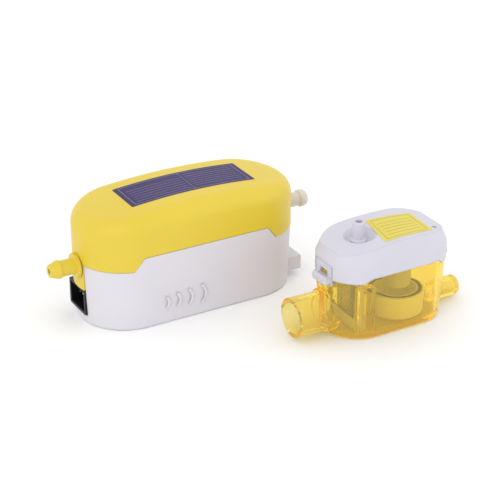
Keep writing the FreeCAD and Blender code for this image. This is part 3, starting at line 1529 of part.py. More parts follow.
def cover_screws():
    """Four screws that come up through the base's columns into the cover's bosses."""
    body = new_body("cover_screws")
    heads = new_sketch(body, "XY", "screw_recess")
    shanks = new_sketch(body, "XY", "screw_recess")
    slots = new_sketch(body, "XY", "screw_recess - screw_head_height")
    for x, y in SCREWS:
        circle(heads, x, y, "screw_head_radius")
        circle(shanks, x, y, "screw_radius")
        rectangle(slots, x + " - screw_head_radius - 1", y + " - screw_slot / 2",
                  x + " + screw_head_radius + 1", y + " + screw_slot / 2")
    pad(body, heads, "screw_head_height", back=True)
    pad(body, shanks, "screw_length")
    cut(body, slots, "screw_head_height / 2", forward=True)
    return body


base_housing()
top_cover()
power_socket()
power_blades()
sensor_socket()
sensor_pins()
circuit_board()
relay()
capacitor()
varistor()
control_chip()
fuse()
yoke_frame()
coil_bobbin()
coil_winding()
terminal_pins()
piston_barrel()
barrel_seals()
outlet_head()
inlet_head()
rubber_mount("outlet_rubber", "outlet_mount")
rubber_mount("inlet_rubber", "inlet_mount")
piston()
piston_cage()
ball("piston_ball", "%s - %s" % (PISTON_SEAT, BALL_STAND))
ball("outlet_ball", "%s - %s" % (OUTLET_SEAT, BALL_STAND))
coil_spring("outlet_side_spring", "barrel_start", "piston_middle - piston_length / 2",
            "spring_radius", "spring_wire", 5)
coil_spring("inlet_side_spring", "piston_middle + piston_length / 2", "barrel_end",
            "spring_radius", "spring_wire", 5)
coil_spring("piston_ball_spring", "piston_middle - piston_length / 2 + cage_thickness",
            "%s - %s - ball_radius" % (PISTON_SEAT, BALL_STAND), "valve_spring_radius", "valve_spring_wire", 3)
coil_spring("outlet_ball_spring", SHANK_TIP, "%s - %s - ball_radius" % (OUTLET_SEAT, BALL_STAND),
            "valve_spring_radius", "valve_spring_wire", 3)
discharge_barb()
inlet_barb()
inlet_hose()
cover_screws()
reservoir_tank()
reservoir_lid()
latch("lid_latch_left", "-")
latch("lid_latch_right", "")
sensor_well()
sensor_board()
level_sensors()
float_ring()
float_magnet()
filter_frame()
filter_screen()
suction_tube()

doc.recompute()
faults = []
for item in doc.Objects:
    if "Invalid" in item.State or "Error" in item.State:
        faults.append("%s: %s" % (item.Name, item.State))
for node in nodes:
    if node.Shape.isNull() or not node.Shape.isValid():
        faults.append("%s: no valid shape" % node.Name)
for item in doc.Objects:
    if item.TypeId in ("PartDesign::Pocket", "PartDesign::Groove") and item.BaseFeature:
        if item.BaseFeature.Shape.Volume - item.Shape.Volume < 1e-6:
            faults.append("%s cuts nothing" % item.Name)
if faults:
    raise RuntimeError("; ".join(faults))

os.makedirs("parts", exist_ok=True)
for node in nodes:
    node.Shape.exportStep(os.path.join("parts", node.Label + ".step"))
    print("%s: %d solid(s), %.1f mm3" % (node.Label, len(node.Shape.Solids), node.Shape.Volume))
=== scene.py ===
import json
import math

import bpy
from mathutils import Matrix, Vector

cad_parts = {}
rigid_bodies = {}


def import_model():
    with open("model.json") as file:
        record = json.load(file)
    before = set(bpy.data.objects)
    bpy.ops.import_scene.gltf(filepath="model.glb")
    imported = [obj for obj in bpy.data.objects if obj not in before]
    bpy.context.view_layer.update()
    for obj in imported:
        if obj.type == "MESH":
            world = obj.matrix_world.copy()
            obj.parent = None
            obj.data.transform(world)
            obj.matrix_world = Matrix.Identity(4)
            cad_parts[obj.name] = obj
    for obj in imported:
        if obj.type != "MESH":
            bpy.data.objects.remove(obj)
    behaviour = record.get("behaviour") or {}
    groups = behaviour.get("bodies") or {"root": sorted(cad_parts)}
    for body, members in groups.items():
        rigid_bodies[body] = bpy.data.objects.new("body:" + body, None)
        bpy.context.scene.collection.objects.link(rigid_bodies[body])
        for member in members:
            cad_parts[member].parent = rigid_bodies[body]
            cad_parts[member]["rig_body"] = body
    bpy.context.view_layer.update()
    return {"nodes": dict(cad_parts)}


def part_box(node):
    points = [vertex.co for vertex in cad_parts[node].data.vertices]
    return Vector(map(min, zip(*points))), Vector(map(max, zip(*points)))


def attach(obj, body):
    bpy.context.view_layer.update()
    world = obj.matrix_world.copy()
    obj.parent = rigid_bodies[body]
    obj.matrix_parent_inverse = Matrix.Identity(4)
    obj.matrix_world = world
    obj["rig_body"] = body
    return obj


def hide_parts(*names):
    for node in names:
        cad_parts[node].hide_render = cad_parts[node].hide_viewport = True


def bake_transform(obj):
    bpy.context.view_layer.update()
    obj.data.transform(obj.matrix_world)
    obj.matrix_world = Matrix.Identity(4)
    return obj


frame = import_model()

bpy.ops.object.select_all(action="DESELECT")


# Base housing
# Lower half of the pump block, injection moulded in white ABS with a slight lavender cast.
# The cover drops onto its stepped rim and four screws come up through its floor.
GRAIN_DETAIL = 2.0
GRAIN_DEPTH = 0.0001
CLOUD_DETAIL = 3.0
CLOUD_RANGE = (0.3, 0.7)
CLOUD_SHADE = 0.965
CORNER_SAMPLES = 6
CORNER_ANGLE = 32
WELD_DISTANCE = 0.000002


def effect_group(name, inputs, outputs):
    """Starts an empty shader group and returns it with its two end nodes."""
    group = bpy.data.node_groups.new(name, "ShaderNodeTree")
    for label, value in inputs:
        socket = group.interface.new_socket(label, in_out="INPUT", socket_type="NodeSocketFloat")
        socket.default_value = value
    for label in outputs:
        group.interface.new_socket(label, in_out="OUTPUT", socket_type="NodeSocketFloat")
    return group, group.nodes.new("NodeGroupInput"), group.nodes.new("NodeGroupOutput")


def moulded_grain():
    """Spark-eroded skin of a moulding: fine height, gloss that wanders, and faint clouds of colour."""
    group, given, result = effect_group(
        "Moulded grain",
        [("Grain per metre", 2400.0), ("Clouds per metre", 30.0),
         ("Gloss low", 0.38), ("Gloss high", 0.5)],
        ["Height", "Roughness", "Clouds"])
    nodes = group.nodes
    links = group.links
    place = nodes.new("ShaderNodeTexCoord")
    grain = nodes.new("ShaderNodeTexNoise")
    grain.inputs["Detail"].default_value = GRAIN_DETAIL
    links.new(place.outputs["Object"], grain.inputs["Vector"])
    links.new(given.outputs["Grain per metre"], grain.inputs["Scale"])
    links.new(grain.outputs["Fac"], result.inputs["Height"])
    clouds = nodes.new("ShaderNodeTexNoise")
    clouds.inputs["Detail"].default_value = CLOUD_DETAIL
    links.new(place.outputs["Object"], clouds.inputs["Vector"])
    links.new(given.outputs["Clouds per metre"], clouds.inputs["Scale"])
    spread = nodes.new("ShaderNodeMapRange")
    spread.inputs["From Min"].default_value = CLOUD_RANGE[0]
    spread.inputs["From Max"].default_value = CLOUD_RANGE[1]
    links.new(clouds.outputs["Fac"], spread.inputs["Value"])
    links.new(spread.outputs["Result"], result.inputs["Clouds"])
    gloss = nodes.new("ShaderNodeMapRange")
    links.new(spread.outputs["Result"], gloss.inputs["Value"])
    links.new(given.outputs["Gloss low"], gloss.inputs["To Min"])
    links.new(given.outputs["Gloss high"], gloss.inputs["To Max"])
    links.new(gloss.outputs["Result"], result.inputs["Roughness"])
    return group


MOULDED_GRAIN = moulded_grain()


def set_shader(material, label, value):
    """Sets one of the shader's own sockets."""
    material.node_tree.nodes["Principled BSDF"].inputs[label].default_value = value


def plain_finish(name, colour, roughness, metallic=0.0):
    """Material with one colour and one gloss all over."""
    material = bpy.data.materials.new(name)
    material.use_nodes = True
    set_shader(material, "Base Color", (*colour, 1.0))
    set_shader(material, "Roughness", roughness)
    set_shader(material, "Metallic", metallic)
    return material


def two_colours(tree, factor, first, second):
    """Base colour that goes from the first to the second as the factor goes from 0 to 1."""
    blend = tree.nodes.new("ShaderNodeMix")
    blend.data_type = "RGBA"
    blend.inputs["A"].default_value = (*first, 1.0)
    blend.inputs["B"].default_value = (*second, 1.0)
    tree.links.new(factor, blend.inputs["Factor"])
    tree.links.new(blend.outputs["Result"], tree.nodes["Principled BSDF"].inputs["Base Color"])


def relief(tree, height, strength, depth):
    """Lets a height show as relief in the light, and returns the node that does it."""
    bump = tree.nodes.new("ShaderNodeBump")
    bump.inputs["Strength"].default_value = strength
    bump.inputs["Distance"].default_value = depth
    tree.links.new(height, bump.inputs["Height"])
    tree.links.new(bump.outputs["Normal"], tree.nodes["Principled BSDF"].inputs["Normal"])
    return bump


def moulded_plastic(name, colour, gloss=(0.38, 0.5), bump=0.04, edge=0.00025):
    """Moulded plastic with a fine grain in its skin and corners that catch a little light."""
    material = plain_finish(name, colour, gloss[0])
    tree = material.node_tree
    skin = tree.nodes.new("ShaderNodeGroup")
    skin.node_tree = MOULDED_GRAIN
    skin.inputs["Gloss low"].default_value = gloss[0]
    skin.inputs["Gloss high"].default_value = gloss[1]
    two_colours(tree, skin.outputs["Clouds"], colour, [CLOUD_SHADE * part for part in colour])
    grain = relief(tree, skin.outputs["Height"], strength=bump, depth=GRAIN_DEPTH)
    tree.links.new(skin.outputs["Roughness"], tree.nodes["Principled BSDF"].inputs["Roughness"])
    if edge:
        corner = tree.nodes.new("ShaderNodeBevel")
        corner.samples = CORNER_SAMPLES
        corner.inputs["Radius"].default_value = edge
        tree.links.new(corner.outputs["Normal"], grain.inputs["Normal"])
    return material


def smooth_skin(node, finish, corner=CORNER_ANGLE, rides=True):
    """Shows a CAD piece as one welded skin, so that its moulded curves shade smoothly."""
    source = frame["nodes"][node]
    skin = bpy.data.objects.new(node + "_skin", source.data.copy())
    bpy.context.scene.collection.objects.link(skin)
    bpy.ops.object.select_all(action="DESELECT")
    skin.select_set(True)
    bpy.context.view_layer.objects.active = skin
    bpy.ops.object.mode_set(mode="EDIT")
    bpy.ops.mesh.select_all(action="SELECT")
    bpy.ops.mesh.customdata_custom_splitnormals_clear()
    bpy.ops.mesh.remove_doubles(threshold=WELD_DISTANCE)
    bpy.ops.object.mode_set(mode="OBJECT")
    bpy.ops.object.shade_smooth_by_angle(angle=math.radians(corner))
    skin.data.materials.clear()
    skin.data.materials.append(finish)
    if rides:
        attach(skin, source["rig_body"])
    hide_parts(node)
    return skin


WHITE_ABS = moulded_plastic("White moulded ABS", (0.685, 0.665, 0.72))
smooth_skin("base_housing", WHITE_ABS)


# Raised arcs on the front of the base
# Four low ribs like a closing bracket, moulded into the wall, each a little larger than the last.
# They are part of the same white moulding.
ARC_PLACES = (-0.0175, -0.0125, -0.0070, -0.0010)
ARC_HEIGHTS = (0.0050, 0.0060, 0.0070, 0.0080)
ARC_MIDDLE = 0.0095
ARC_PROUD = 0.00009
ARC_WIDTH = 0.0013
ARC_HALF_ANGLE = 52.0
ARC_STEPS = 64
ARC_STEPS_ACROSS = 12
ARC_SHARP_ANGLE = 50


def front_arc(number, middle, height):
    """One low rib, bent like a closing bracket, on the flat front wall."""
    low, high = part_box("base_housing")
    reach = height / 2 / math.sin(math.radians(ARC_HALF_ANGLE))
    centre = (middle - reach, low.y, ARC_MIDDLE)
    bpy.ops.object.select_all(action="DESELECT")
    bpy.ops.mesh.primitive_torus_add(
        major_segments=ARC_STEPS, minor_segments=ARC_STEPS_ACROSS, major_radius=reach,
        minor_radius=ARC_WIDTH / 2, location=centre, rotation=(math.radians(90), 0, 0))
    arc = bpy.context.object
    arc.name = "front_arc_%d" % number
    bpy.ops.object.transform_apply(location=True, rotation=True, scale=True)
    bpy.ops.object.mode_set(mode="EDIT")
    bpy.ops.mesh.select_all(action="SELECT")
    bpy.ops.transform.resize(value=(1, 2 * ARC_PROUD / ARC_WIDTH, 1), center_override=centre)
    for side in (-1, 1):
        angle = math.radians(side * ARC_HALF_ANGLE)
        bpy.ops.mesh.select_all(action="SELECT")
        bpy.ops.mesh.bisect(
            plane_co=centre, plane_no=(-math.sin(angle) * side, 0, math.cos(angle) * side),
            clear_outer=True, use_fill=True)
    bpy.ops.mesh.select_all(action="SELECT")
    bpy.ops.mesh.normals_make_consistent(inside=False)
    bpy.ops.object.mode_set(mode="OBJECT")
    bpy.ops.object.shade_smooth_by_angle(angle=math.radians(ARC_SHARP_ANGLE))
    arc.data.materials.append(WHITE_ABS)
    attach(arc, "pump_and_tank")


for number, (middle, height) in enumerate(zip(ARC_PLACES, ARC_HEIGHTS), start=1):
    front_arc(number, middle, height)


# Cover
# Upper half of the pump block, moulded in warm yellow ABS with a long crown and a soft shoulder.
# Its tabs close the socket slot at one end and the barb's hole at the other.
YELLOW_ABS = moulded_plastic("Yellow moulded ABS", (0.735, 0.555, 0.040), gloss=(0.36, 0.46))
smooth_skin("top_cover", YELLOW_ABS)


# Rating plate on the cover
# Self-adhesive film in dark purple with a pale frame line and two columns of blank ruled lines.
# It follows the cover's crown.
PLATE_LENGTH = 0.0547
PLATE_WIDTH = 0.0184
PLATE_MIDDLE = (0.0010, 0.0006)
PLATE_CORNER = 0.0004
PLATE_INSET = (0.0020, 0.0011)
PLATE_RULE = 0.00016
PLATE_DIVIDER = (0.0010, 0.0, PLATE_RULE, 0.0156)
FRAME_LINE = 0.0002
FILM_STEP = 0.0012
CLOSEST_CUT = FILM_STEP / 5
MICRON_DIGITS = 6
FILM_LIFT = 0.00012
FILM_THICKNESS = 0.0001
FILM_CORNER_STEPS = 4
FILM_DROP = 0.002
FILM_SHARP_ANGLE = 40
INK_MOTTLE = 0.08


def cut_across(places, axis):
    """Cuts the mesh in edit mode at each place along X (0) or Y (1)."""
    for place in places:
        point = [0.0, 0.0, 0.0]
        normal = [0.0, 0.0, 0.0]
        point[axis] = place
        normal[axis] = 1.0
        bpy.ops.mesh.select_all(action="SELECT")
        bpy.ops.mesh.bisect(plane_co=point, plane_no=normal)


def cut_places(strips, half, axis):
    """Places where a film is cut: along each printed edge, and between them so that it can bend."""
    edges = {round(strip[axis] + side * strip[axis + 2], MICRON_DIGITS)
             for strip in strips for side in (-1, 1)}
    count = int(2 * half[axis] / FILM_STEP)
    steps = {-half[axis] + 2 * half[axis] * step / count for step in range(1, count)}
    spare = {step for step in steps if min(abs(step - edge) for edge in edges) > CLOSEST_CUT}
    return sorted(edges | spare)


def film_label(name, corners, corner_cut, frame_inset, rules, target, crown=None):
    """Thin film laid on a curved lid. Its corners go round from the near left one. The frame line
    is inset from the ends and from the sides, and each rule is a printed strip given by its centre,
    length and width from the film's middle. With a crown's height the film bridges dips in it."""
    near_left, near_right, far_right, far_left = [Vector(point) for point in corners]
    length = ((near_right - near_left).length + (far_right - far_left).length) / 2
    width = ((far_left - near_left).length + (far_right - near_right).length) / 2
    half = (length / 2, width / 2)
    bpy.ops.object.select_all(action="DESELECT")
    bpy.ops.mesh.primitive_plane_add(size=1)
    film = bpy.context.object
    film.name = name
    film.scale = (length, width, 1)
    bpy.ops.object.transform_apply(location=True, rotation=True, scale=True)
    bpy.ops.object.mode_set(mode="EDIT")
    bpy.ops.mesh.select_all(action="SELECT")
    bpy.ops.mesh.bevel(offset=corner_cut, segments=FILM_CORNER_STEPS, affect="VERTICES")
    inner = [half[side] - frame_inset[side] for side in (0, 1)]
    strips = [(0, y, inner[0], FRAME_LINE / 2) for y in (-inner[1], inner[1])]
    strips += [(x, 0, FRAME_LINE / 2, inner[1]) for x in (-inner[0], inner[0])]
    strips += [(x, y, long / 2, wide / 2) for x, y, long, wide in rules]
    for axis in (0, 1):
        cut_across(cut_places(strips, half, axis), axis)
    bpy.ops.object.mode_set(mode="OBJECT")
    for face in film.data.polygons:
        printed = any(abs(face.center.x - x) < long and abs(face.center.y - y) < wide
                      for x, y, long, wide in strips)
        face.material_index = 1 if printed else 0
    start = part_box(target)[1].z + FILM_DROP
    for point in film.data.vertices:
        across = point.co.x / length + 0.5
        up = point.co.y / width + 0.5
        near = near_left.lerp(near_right, across)
        far = far_left.lerp(far_right, across)
        point.co = (*near.lerp(far, up), start)
    lay = film.modifiers.new("lay on the lid", "SHRINKWRAP")
    lay.target = frame["nodes"][target]
    lay.wrap_method = "PROJECT"
    lay.use_project_z = True
    lay.use_negative_direction = True
    lay.use_positive_direction = False
    lay.wrap_mode = "ABOVE_SURFACE"
    lay.offset = FILM_LIFT
    bpy.ops.object.modifier_apply(modifier=lay.name)
    if crown:
        for point in film.data.vertices:
            point.co.z = max(point.co.z, crown(point.co.x) + FILM_LIFT)
    body = film.modifiers.new("film", "SOLIDIFY")
    body.thickness = FILM_THICKNESS
    body.offset = -1.0
    bpy.ops.object.modifier_apply(modifier=body.name)
    film.select_set(True)
    bpy.ops.object.shade_smooth_by_angle(angle=math.radians(FILM_SHARP_ANGLE))
    return film


def ruled_lines(middle, length, count, pitch, width, rise):
    """Equal printed lines below each other, centred this far above the film's middle."""
    return [(middle, rise + pitch * ((count - 1) / 2 - line), length, width) for line in range(count)]


def printed_film(name, colour, roughness, specular):
    """Printed polyester film with a faint mottle in its ink."""
    gloss = (roughness, roughness + INK_MOTTLE)
    material = moulded_plastic(name, colour, gloss=gloss, bump=0.01, edge=0)
    set_shader(material, "Specular IOR Level", specular)
    return material


plate_rules = ruled_lines(
    middle=-0.0120, length=0.0235, count=6, pitch=0.0020, width=PLATE_RULE, rise=-0.0012)
plate_rules += ruled_lines(
    middle=0.0130, length=0.0215, count=7, pitch=0.0019, width=PLATE_RULE, rise=0.0002)
plate_rules.append(PLATE_DIVIDER)
left, right = [PLATE_MIDDLE[0] + side * PLATE_LENGTH / 2 for side in (-1, 1)]
near, far = [PLATE_MIDDLE[1] + side * PLATE_WIDTH / 2 for side in (-1, 1)]
plate = film_label("rating_plate", [(left, near), (right, near), (right, far), (left, far)],
                   PLATE_CORNER, PLATE_INSET, plate_rules, "top_cover")
plate.data.materials.append(
    printed_film("Dark purple film", (0.050, 0.036, 0.125), roughness=0.5, specular=0.25))
plate.data.materials.append(
    printed_film("Pale printed line", (0.30, 0.27, 0.38), roughness=0.5, specular=0.25))
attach(plate, "pump_and_tank")


# Power socket
# Black phenolic socket held between base and cover, with three bright contacts inside.
# It drops into the base's slot before the cover goes on.
DRAWN_DETAIL = 2.0
DRAWN_DEPTH = 0.00005


def drawn_lines():
    """Fine lines left along a drawn or ground metal part: height and gloss."""
    group, given, result = effect_group(
        "Drawn lines",
        [("Lines per metre", 3000.0), ("Stretch", 0.04), ("Gloss low", 0.2), ("Gloss high", 0.35)],
        ["Height", "Roughness"])
    nodes = group.nodes
    links = group.links
    place = nodes.new("ShaderNodeTexCoord")
    stretch = nodes.new("ShaderNodeCombineXYZ")
    stretch.inputs["Y"].default_value = 1.0
    stretch.inputs["Z"].default_value = 1.0
    links.new(given.outputs["Stretch"], stretch.inputs["X"])
    pull = nodes.new("ShaderNodeVectorMath")
    pull.operation = "MULTIPLY"
    links.new(place.outputs["Object"], pull.inputs[0])
    links.new(stretch.outputs["Vector"], pull.inputs[1])
    lines = nodes.new("ShaderNodeTexNoise")
    lines.inputs["Detail"].default_value = DRAWN_DETAIL
    links.new(pull.outputs["Vector"], lines.inputs["Vector"])
    links.new(given.outputs["Lines per metre"], lines.inputs["Scale"])
    links.new(lines.outputs["Fac"], result.inputs["Height"])
    gloss = nodes.new("ShaderNodeMapRange")
    links.new(lines.outputs["Fac"], gloss.inputs["Value"])
    links.new(given.outputs["Gloss low"], gloss.inputs["To Min"])
    links.new(given.outputs["Gloss high"], gloss.inputs["To Max"])
    links.new(gloss.outputs["Result"], result.inputs["Roughness"])
    return group


DRAWN_LINES = drawn_lines()


def worked_metal(name, colour, gloss, stretch=0.04, bump=0.08):
    """Bare or plated metal with the lines of its drawing or grinding along X."""
    material = plain_finish(name, colour, gloss[0], metallic=1.0)
    tree = material.node_tree
    lines = tree.nodes.new("ShaderNodeGroup")
    lines.node_tree = DRAWN_LINES
    lines.inputs["Stretch"].default_value = stretch
    lines.inputs["Gloss low"].default_value = gloss[0]
    lines.inputs["Gloss high"].default_value = gloss[1]
    relief(tree, lines.outputs["Height"], strength=bump, depth=DRAWN_DEPTH)
    tree.links.new(lines.outputs["Roughness"], tree.nodes["Principled BSDF"].inputs["Roughness"])
    return material


BLACK_PLASTIC = moulded_plastic("Black socket plastic", (0.006, 0.006, 0.007), gloss=(0.38, 0.48))
set_shader(BLACK_PLASTIC, "Specular IOR Level", 0.3)
CONTACT_BRASS = worked_metal("Drawn brass", (0.72, 0.53, 0.22), gloss=(0.2, 0.34))
smooth_skin("power_socket", BLACK_PLASTIC)
smooth_skin("power_blades", CONTACT_BRASS)


# Sensor socket
# White block with four tinned pins at the foot of the far end.
# The lead of the level sensors plugs in here.
TINNED_PIN = worked_metal("Tinned pin", (0.72, 0.71, 0.68), gloss=(0.22, 0.34))
smooth_skin("sensor_socket", WHITE_ABS)
smooth_skin("sensor_pins", TINNED_PIN)


# Hose barbs
# The discharge barb is moulded in the cover's yellow, the inlet barb in natural nylon.
# Each has a flange inside the shell that the two halves trap.
NATURAL_NYLON = moulded_plastic("Natural nylon", (0.70, 0.66, 0.57), gloss=(0.3, 0.4), bump=0.02)
set_shader(NATURAL_NYLON, "Subsurface Weight", 0.25)
set_shader(NATURAL_NYLON, "Subsurface Scale", 0.0015)
smooth_skin("discharge_barb", YELLOW_ABS)
smooth_skin("inlet_barb", NATURAL_NYLON)


# Circuit board and its parts
# Glass-epoxy board that lies in the base, with relay, capacitor, surge disc, controller and fuse.
# The solenoid's pins are soldered into it.
TRACK_PATTERN = {"Scale": 150.0, "Mortar Size": 0.09, "Mortar Smooth": 0.1, "Brick Width": 1.1,
                 "Row Height": 0.45}
TRACK_DEPTH = 0.00005
FUSE_CAP_SHARE = 0.27


def board_tracks(name, ground, track):
    """Green solder mask over copper tracks, which show as lighter, slightly raised bands."""
    material = plain_finish(name, ground, roughness=0.32)
    tree = material.node_tree
    place = tree.nodes.new("ShaderNodeTexCoord")
    tracks = tree.nodes.new("ShaderNodeTexBrick")
    for label, value in TRACK_PATTERN.items():
        tracks.inputs[label].default_value = value
    tree.links.new(place.outputs["Object"], tracks.inputs["Vector"])
    two_colours(tree, tracks.outputs["Fac"], ground, track)
    relief(tree, tracks.outputs["Fac"], strength=0.3, depth=TRACK_DEPTH)
    return material


def metal_ends(skin, finish, share):
    """Gives both ends of a piece, each this share of its length in X, a second finish."""
    skin.data.materials.append(finish)
    places = [point.co.x for point in skin.data.vertices]
    start = min(places)
    length = max(places) - start
    for face in skin.data.polygons:
        along = (face.center.x - start) / length
        face.material_index = 1 if along < share or along > 1 - share else 0


BOARD_GREEN = board_tracks("Solder mask", (0.010, 0.080, 0.026), (0.022, 0.16, 0.05))
FILM_RED = moulded_plastic("Capacitor case", (0.48, 0.03, 0.012), gloss=(0.34, 0.46))
DISC_BLUE = moulded_plastic("Dipped disc", (0.015, 0.06, 0.3), gloss=(0.18, 0.3), bump=0.1)
FUSE_GLASS = plain_finish("Fuse glass", (0.90, 0.93, 0.92), roughness=0.04)
set_shader(FUSE_GLASS, "Transmission Weight", 0.85)
for name, finish in (("circuit_board", BOARD_GREEN), ("relay", BLACK_PLASTIC), ("capacitor", FILM_RED),
                     ("varistor", DISC_BLUE), ("control_chip", BLACK_PLASTIC)):
    smooth_skin(name, finish)
metal_ends(smooth_skin("fuse", FUSE_GLASS), TINNED_PIN, FUSE_CAP_SHARE)


# Solenoid
# Enamelled copper wire on a black bobbin, in a folded and plated steel yoke.
# The coil drives the piston once for each half wave of the mains.
BANDS_PER_METRE = 3.183
WIRE_TURNS_PER_METRE = 2800.0
WIRE_DEPTH = 0.0001


def wound_wire(name, colour, shade, turns_per_metre):
    """Copper winding: even turns side by side round X, with painted shade in the valleys between them.
    The bands in a metre of a wave texture are BANDS_PER_METRE times its scale."""
    material = plain_finish(name, colour, roughness=0.3, metallic=0.8)
    tree = material.node_tree
    place = tree.nodes.new("ShaderNodeTexCoord")
    turns = tree.nodes.new("ShaderNodeTexWave")
    turns.wave_type = "BANDS"
    turns.bands_direction = "X"
    turns.inputs["Scale"].default_value = turns_per_metre / BANDS_PER_METRE
    turns.inputs["Distortion"].default_value = 0.2
    tree.links.new(place.outputs["Object"], turns.inputs["Vector"])
    # The darker colour in the valleys between the turns is painted shade.
    two_colours(tree, turns.outputs["Fac"], shade, colour)
    relief(tree, turns.outputs["Fac"], strength=0.7, depth=WIRE_DEPTH)
    return material


YOKE_STEEL = worked_metal("Plated yoke steel", (0.55, 0.56, 0.58), gloss=(0.28, 0.42), stretch=0.1)
COPPER_WIRE = wound_wire(
    "Enamelled copper", (0.66, 0.25, 0.08), (0.22, 0.06, 0.02), WIRE_TURNS_PER_METRE)
for name, finish in (("yoke_frame", YOKE_STEEL), ("coil_bobbin", BLACK_PLASTIC),
                     ("coil_winding", COPPER_WIRE), ("terminal_pins", TINNED_PIN)):
    smooth_skin(name, finish)


# Piston pump
# Brass barrel between two nylon heads, hung in rubber grommets so that it doesn't drum.
# The steel piston works between two springs and carries the first of two rubber ball valves.
SOFT_RUBBER = moulded_plastic("Black rubber", (0.018, 0.018, 0.018), gloss=(0.6, 0.72), bump=0.1)
BRIGHT_STEEL = worked_metal("Bright steel", (0.62, 0.62, 0.63), gloss=(0.16, 0.28))
for name, finish in (
        ("piston_barrel", CONTACT_BRASS), ("barrel_seals", SOFT_RUBBER), ("outlet_head", NATURAL_NYLON),
        ("inlet_head", NATURAL_NYLON), ("outlet_rubber", SOFT_RUBBER), ("inlet_rubber", SOFT_RUBBER),
        ("piston", BRIGHT_STEEL), ("piston_cage", CONTACT_BRASS), ("piston_ball", SOFT_RUBBER),
        ("outlet_ball", SOFT_RUBBER), ("inlet_hose", SOFT_RUBBER)):
    smooth_skin(name, finish)


# Springs of the piston pump
# Two open-wound springs of bright steel wire return the piston, and two finer ones close its valves.
# Each skin rides with no body and stays as it was modelled; the bodies listed beside it are not used.
for name, low_body, high_body in (
        ("outlet_side_spring", "pump_and_tank", "piston_set"),
        ("inlet_side_spring", "piston_set", "pump_and_tank"),
        ("piston_ball_spring", "piston_set", "piston_valve_ball"),
        ("outlet_ball_spring", "pump_and_tank", "outlet_valve_ball")):
    spring = smooth_skin(name, BRIGHT_STEEL, rides=False)
    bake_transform(spring)


# Screws
# Four zinc-plated screws that come up through the base's columns into the cover's bosses.
# Their heads sit deep in the columns, clear of what the block stands on.
SCREW_STEEL = worked_metal("Zinc plated steel", (0.58, 0.58, 0.55), gloss=(0.26, 0.4), stretch=1.0)
smooth_skin("cover_screws", SCREW_STEEL)


# Reservoir tank
# See-through amber tank, moulded in one piece with its spigot, collar, guides and capped stub.
# The thick plastic goes a deep orange where it is seen edge on.
CLEAR_SHARE = 0.93
CLEAR_IOR = 1.22
PAINTED_SKIN_GLOW = 0.022
PAINTED_DEPTH_GLOW = 18.0


def clear_plastic(name, tint, roughness, depth_colour, density, glow):
    """Tinted see-through moulding. It deepens with the thickness of plastic looked through, and a
    faint painted glow, at its skin and through its depth, stands in for the light that it scatters
    inside."""
    material = plain_finish(name, tint, roughness)
    set_shader(material, "Transmission Weight", CLEAR_SHARE)
    set_shader(material, "IOR", CLEAR_IOR)
    # The skin's emission is a painted glow.
    set_shader(material, "Emission Color", (*glow, 1.0))
    set_shader(material, "Emission Strength", PAINTED_SKIN_GLOW)
    tree = material.node_tree
    depth = tree.nodes.new("ShaderNodeVolumeAbsorption")
    depth.inputs["Color"].default_value = (*depth_colour, 1.0)
    depth.inputs["Density"].default_value = density
    # Emission through the plastic's depth is a painted glow, stronger where the plastic is thicker.
    painted_glow = tree.nodes.new("ShaderNodeEmission")
    painted_glow.inputs["Color"].default_value = (*glow, 1.0)
    painted_glow.inputs["Strength"].default_value = PAINTED_DEPTH_GLOW
    inside = tree.nodes.new("ShaderNodeAddShader")
    tree.links.new(depth.outputs["Volume"], inside.inputs[0])
    tree.links.new(painted_glow.outputs["Emission"], inside.inputs[1])
    tree.links.new(inside.outputs["Shader"], tree.nodes["Material Output"].inputs["Volume"])
    return material


AMBER = clear_plastic("Amber tank plastic", (0.94, 0.865, 0.50), roughness=0.03,
                      depth_colour=(0.97, 0.85, 0.02), density=210.0, glow=(0.90, 0.74, 0.24))
smooth_skin("reservoir_tank", AMBER)


# Dirt screen
# White frame with a fine moulded mesh, slid down between the tank's guides.
# The mesh runs slantwise, and the frame's solid sill holds back the sludge.
SCREEN_PITCH = 0.0011
SCREEN_WIRE = 0.00042
SCREEN_MARGIN = 0.6 * SCREEN_WIRE
SCREEN_SHARP_ANGLE = 50
SCREEN_PLASTIC = moulded_plastic("Screen plastic", (0.30, 0.24, 0.10), gloss=(0.45, 0.55), edge=0)


def slanting_mesh(node):
    """Square mesh turned by 45 degrees and trimmed to the opening of its frame."""
    low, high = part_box(node)
    size = high - low
    reach = size.y + size.z
    count = int(reach / SCREEN_PITCH)
    bpy.ops.object.select_all(action="DESELECT")
    bpy.ops.mesh.primitive_grid_add(
        x_subdivisions=count, y_subdivisions=count, size=reach, location=(low + high) / 2)
    mesh = bpy.context.object
    mesh.name = node + "_mesh"
    mesh.rotation_mode = "ZYX"
    mesh.rotation_euler = (0, math.radians(90), math.radians(45))
    bpy.ops.object.transform_apply(location=True, rotation=True, scale=True)
    bpy.ops.object.mode_set(mode="EDIT")
    for normal, corner in (((0, 1, 0), high), ((0, -1, 0), low), ((0, 0, 1), high), ((0, 0, -1), low)):
        bpy.ops.mesh.select_all(action="SELECT")
        bpy.ops.mesh.bisect(
            plane_co=Vector(corner) - Vector(normal) * SCREEN_MARGIN, plane_no=normal, clear_outer=True)
    bpy.ops.object.mode_set(mode="OBJECT")
    wires = mesh.modifiers.new("wires", "WIREFRAME")
    wires.thickness = SCREEN_WIRE
    wires.use_even_offset = False
    bpy.ops.object.modifier_apply(modifier=wires.name)
    bpy.ops.object.shade_smooth_by_angle(angle=math.radians(SCREEN_SHARP_ANGLE))
    mesh.data.materials.append(SCREEN_PLASTIC)
    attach(mesh, frame["nodes"][node]["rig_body"])
    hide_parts(node)


smooth_skin("filter_frame", WHITE_ABS)
slanting_mesh("filter_screen")


# Float and level sensors
# Closed-cell foam ring with a ferrite magnet in its top, round a closed tube with three sensors.
# The ring rides up the tube as the tank fills.
CELLS_PER_METRE = 2200.0
CELL_DEPTH = 0.0001


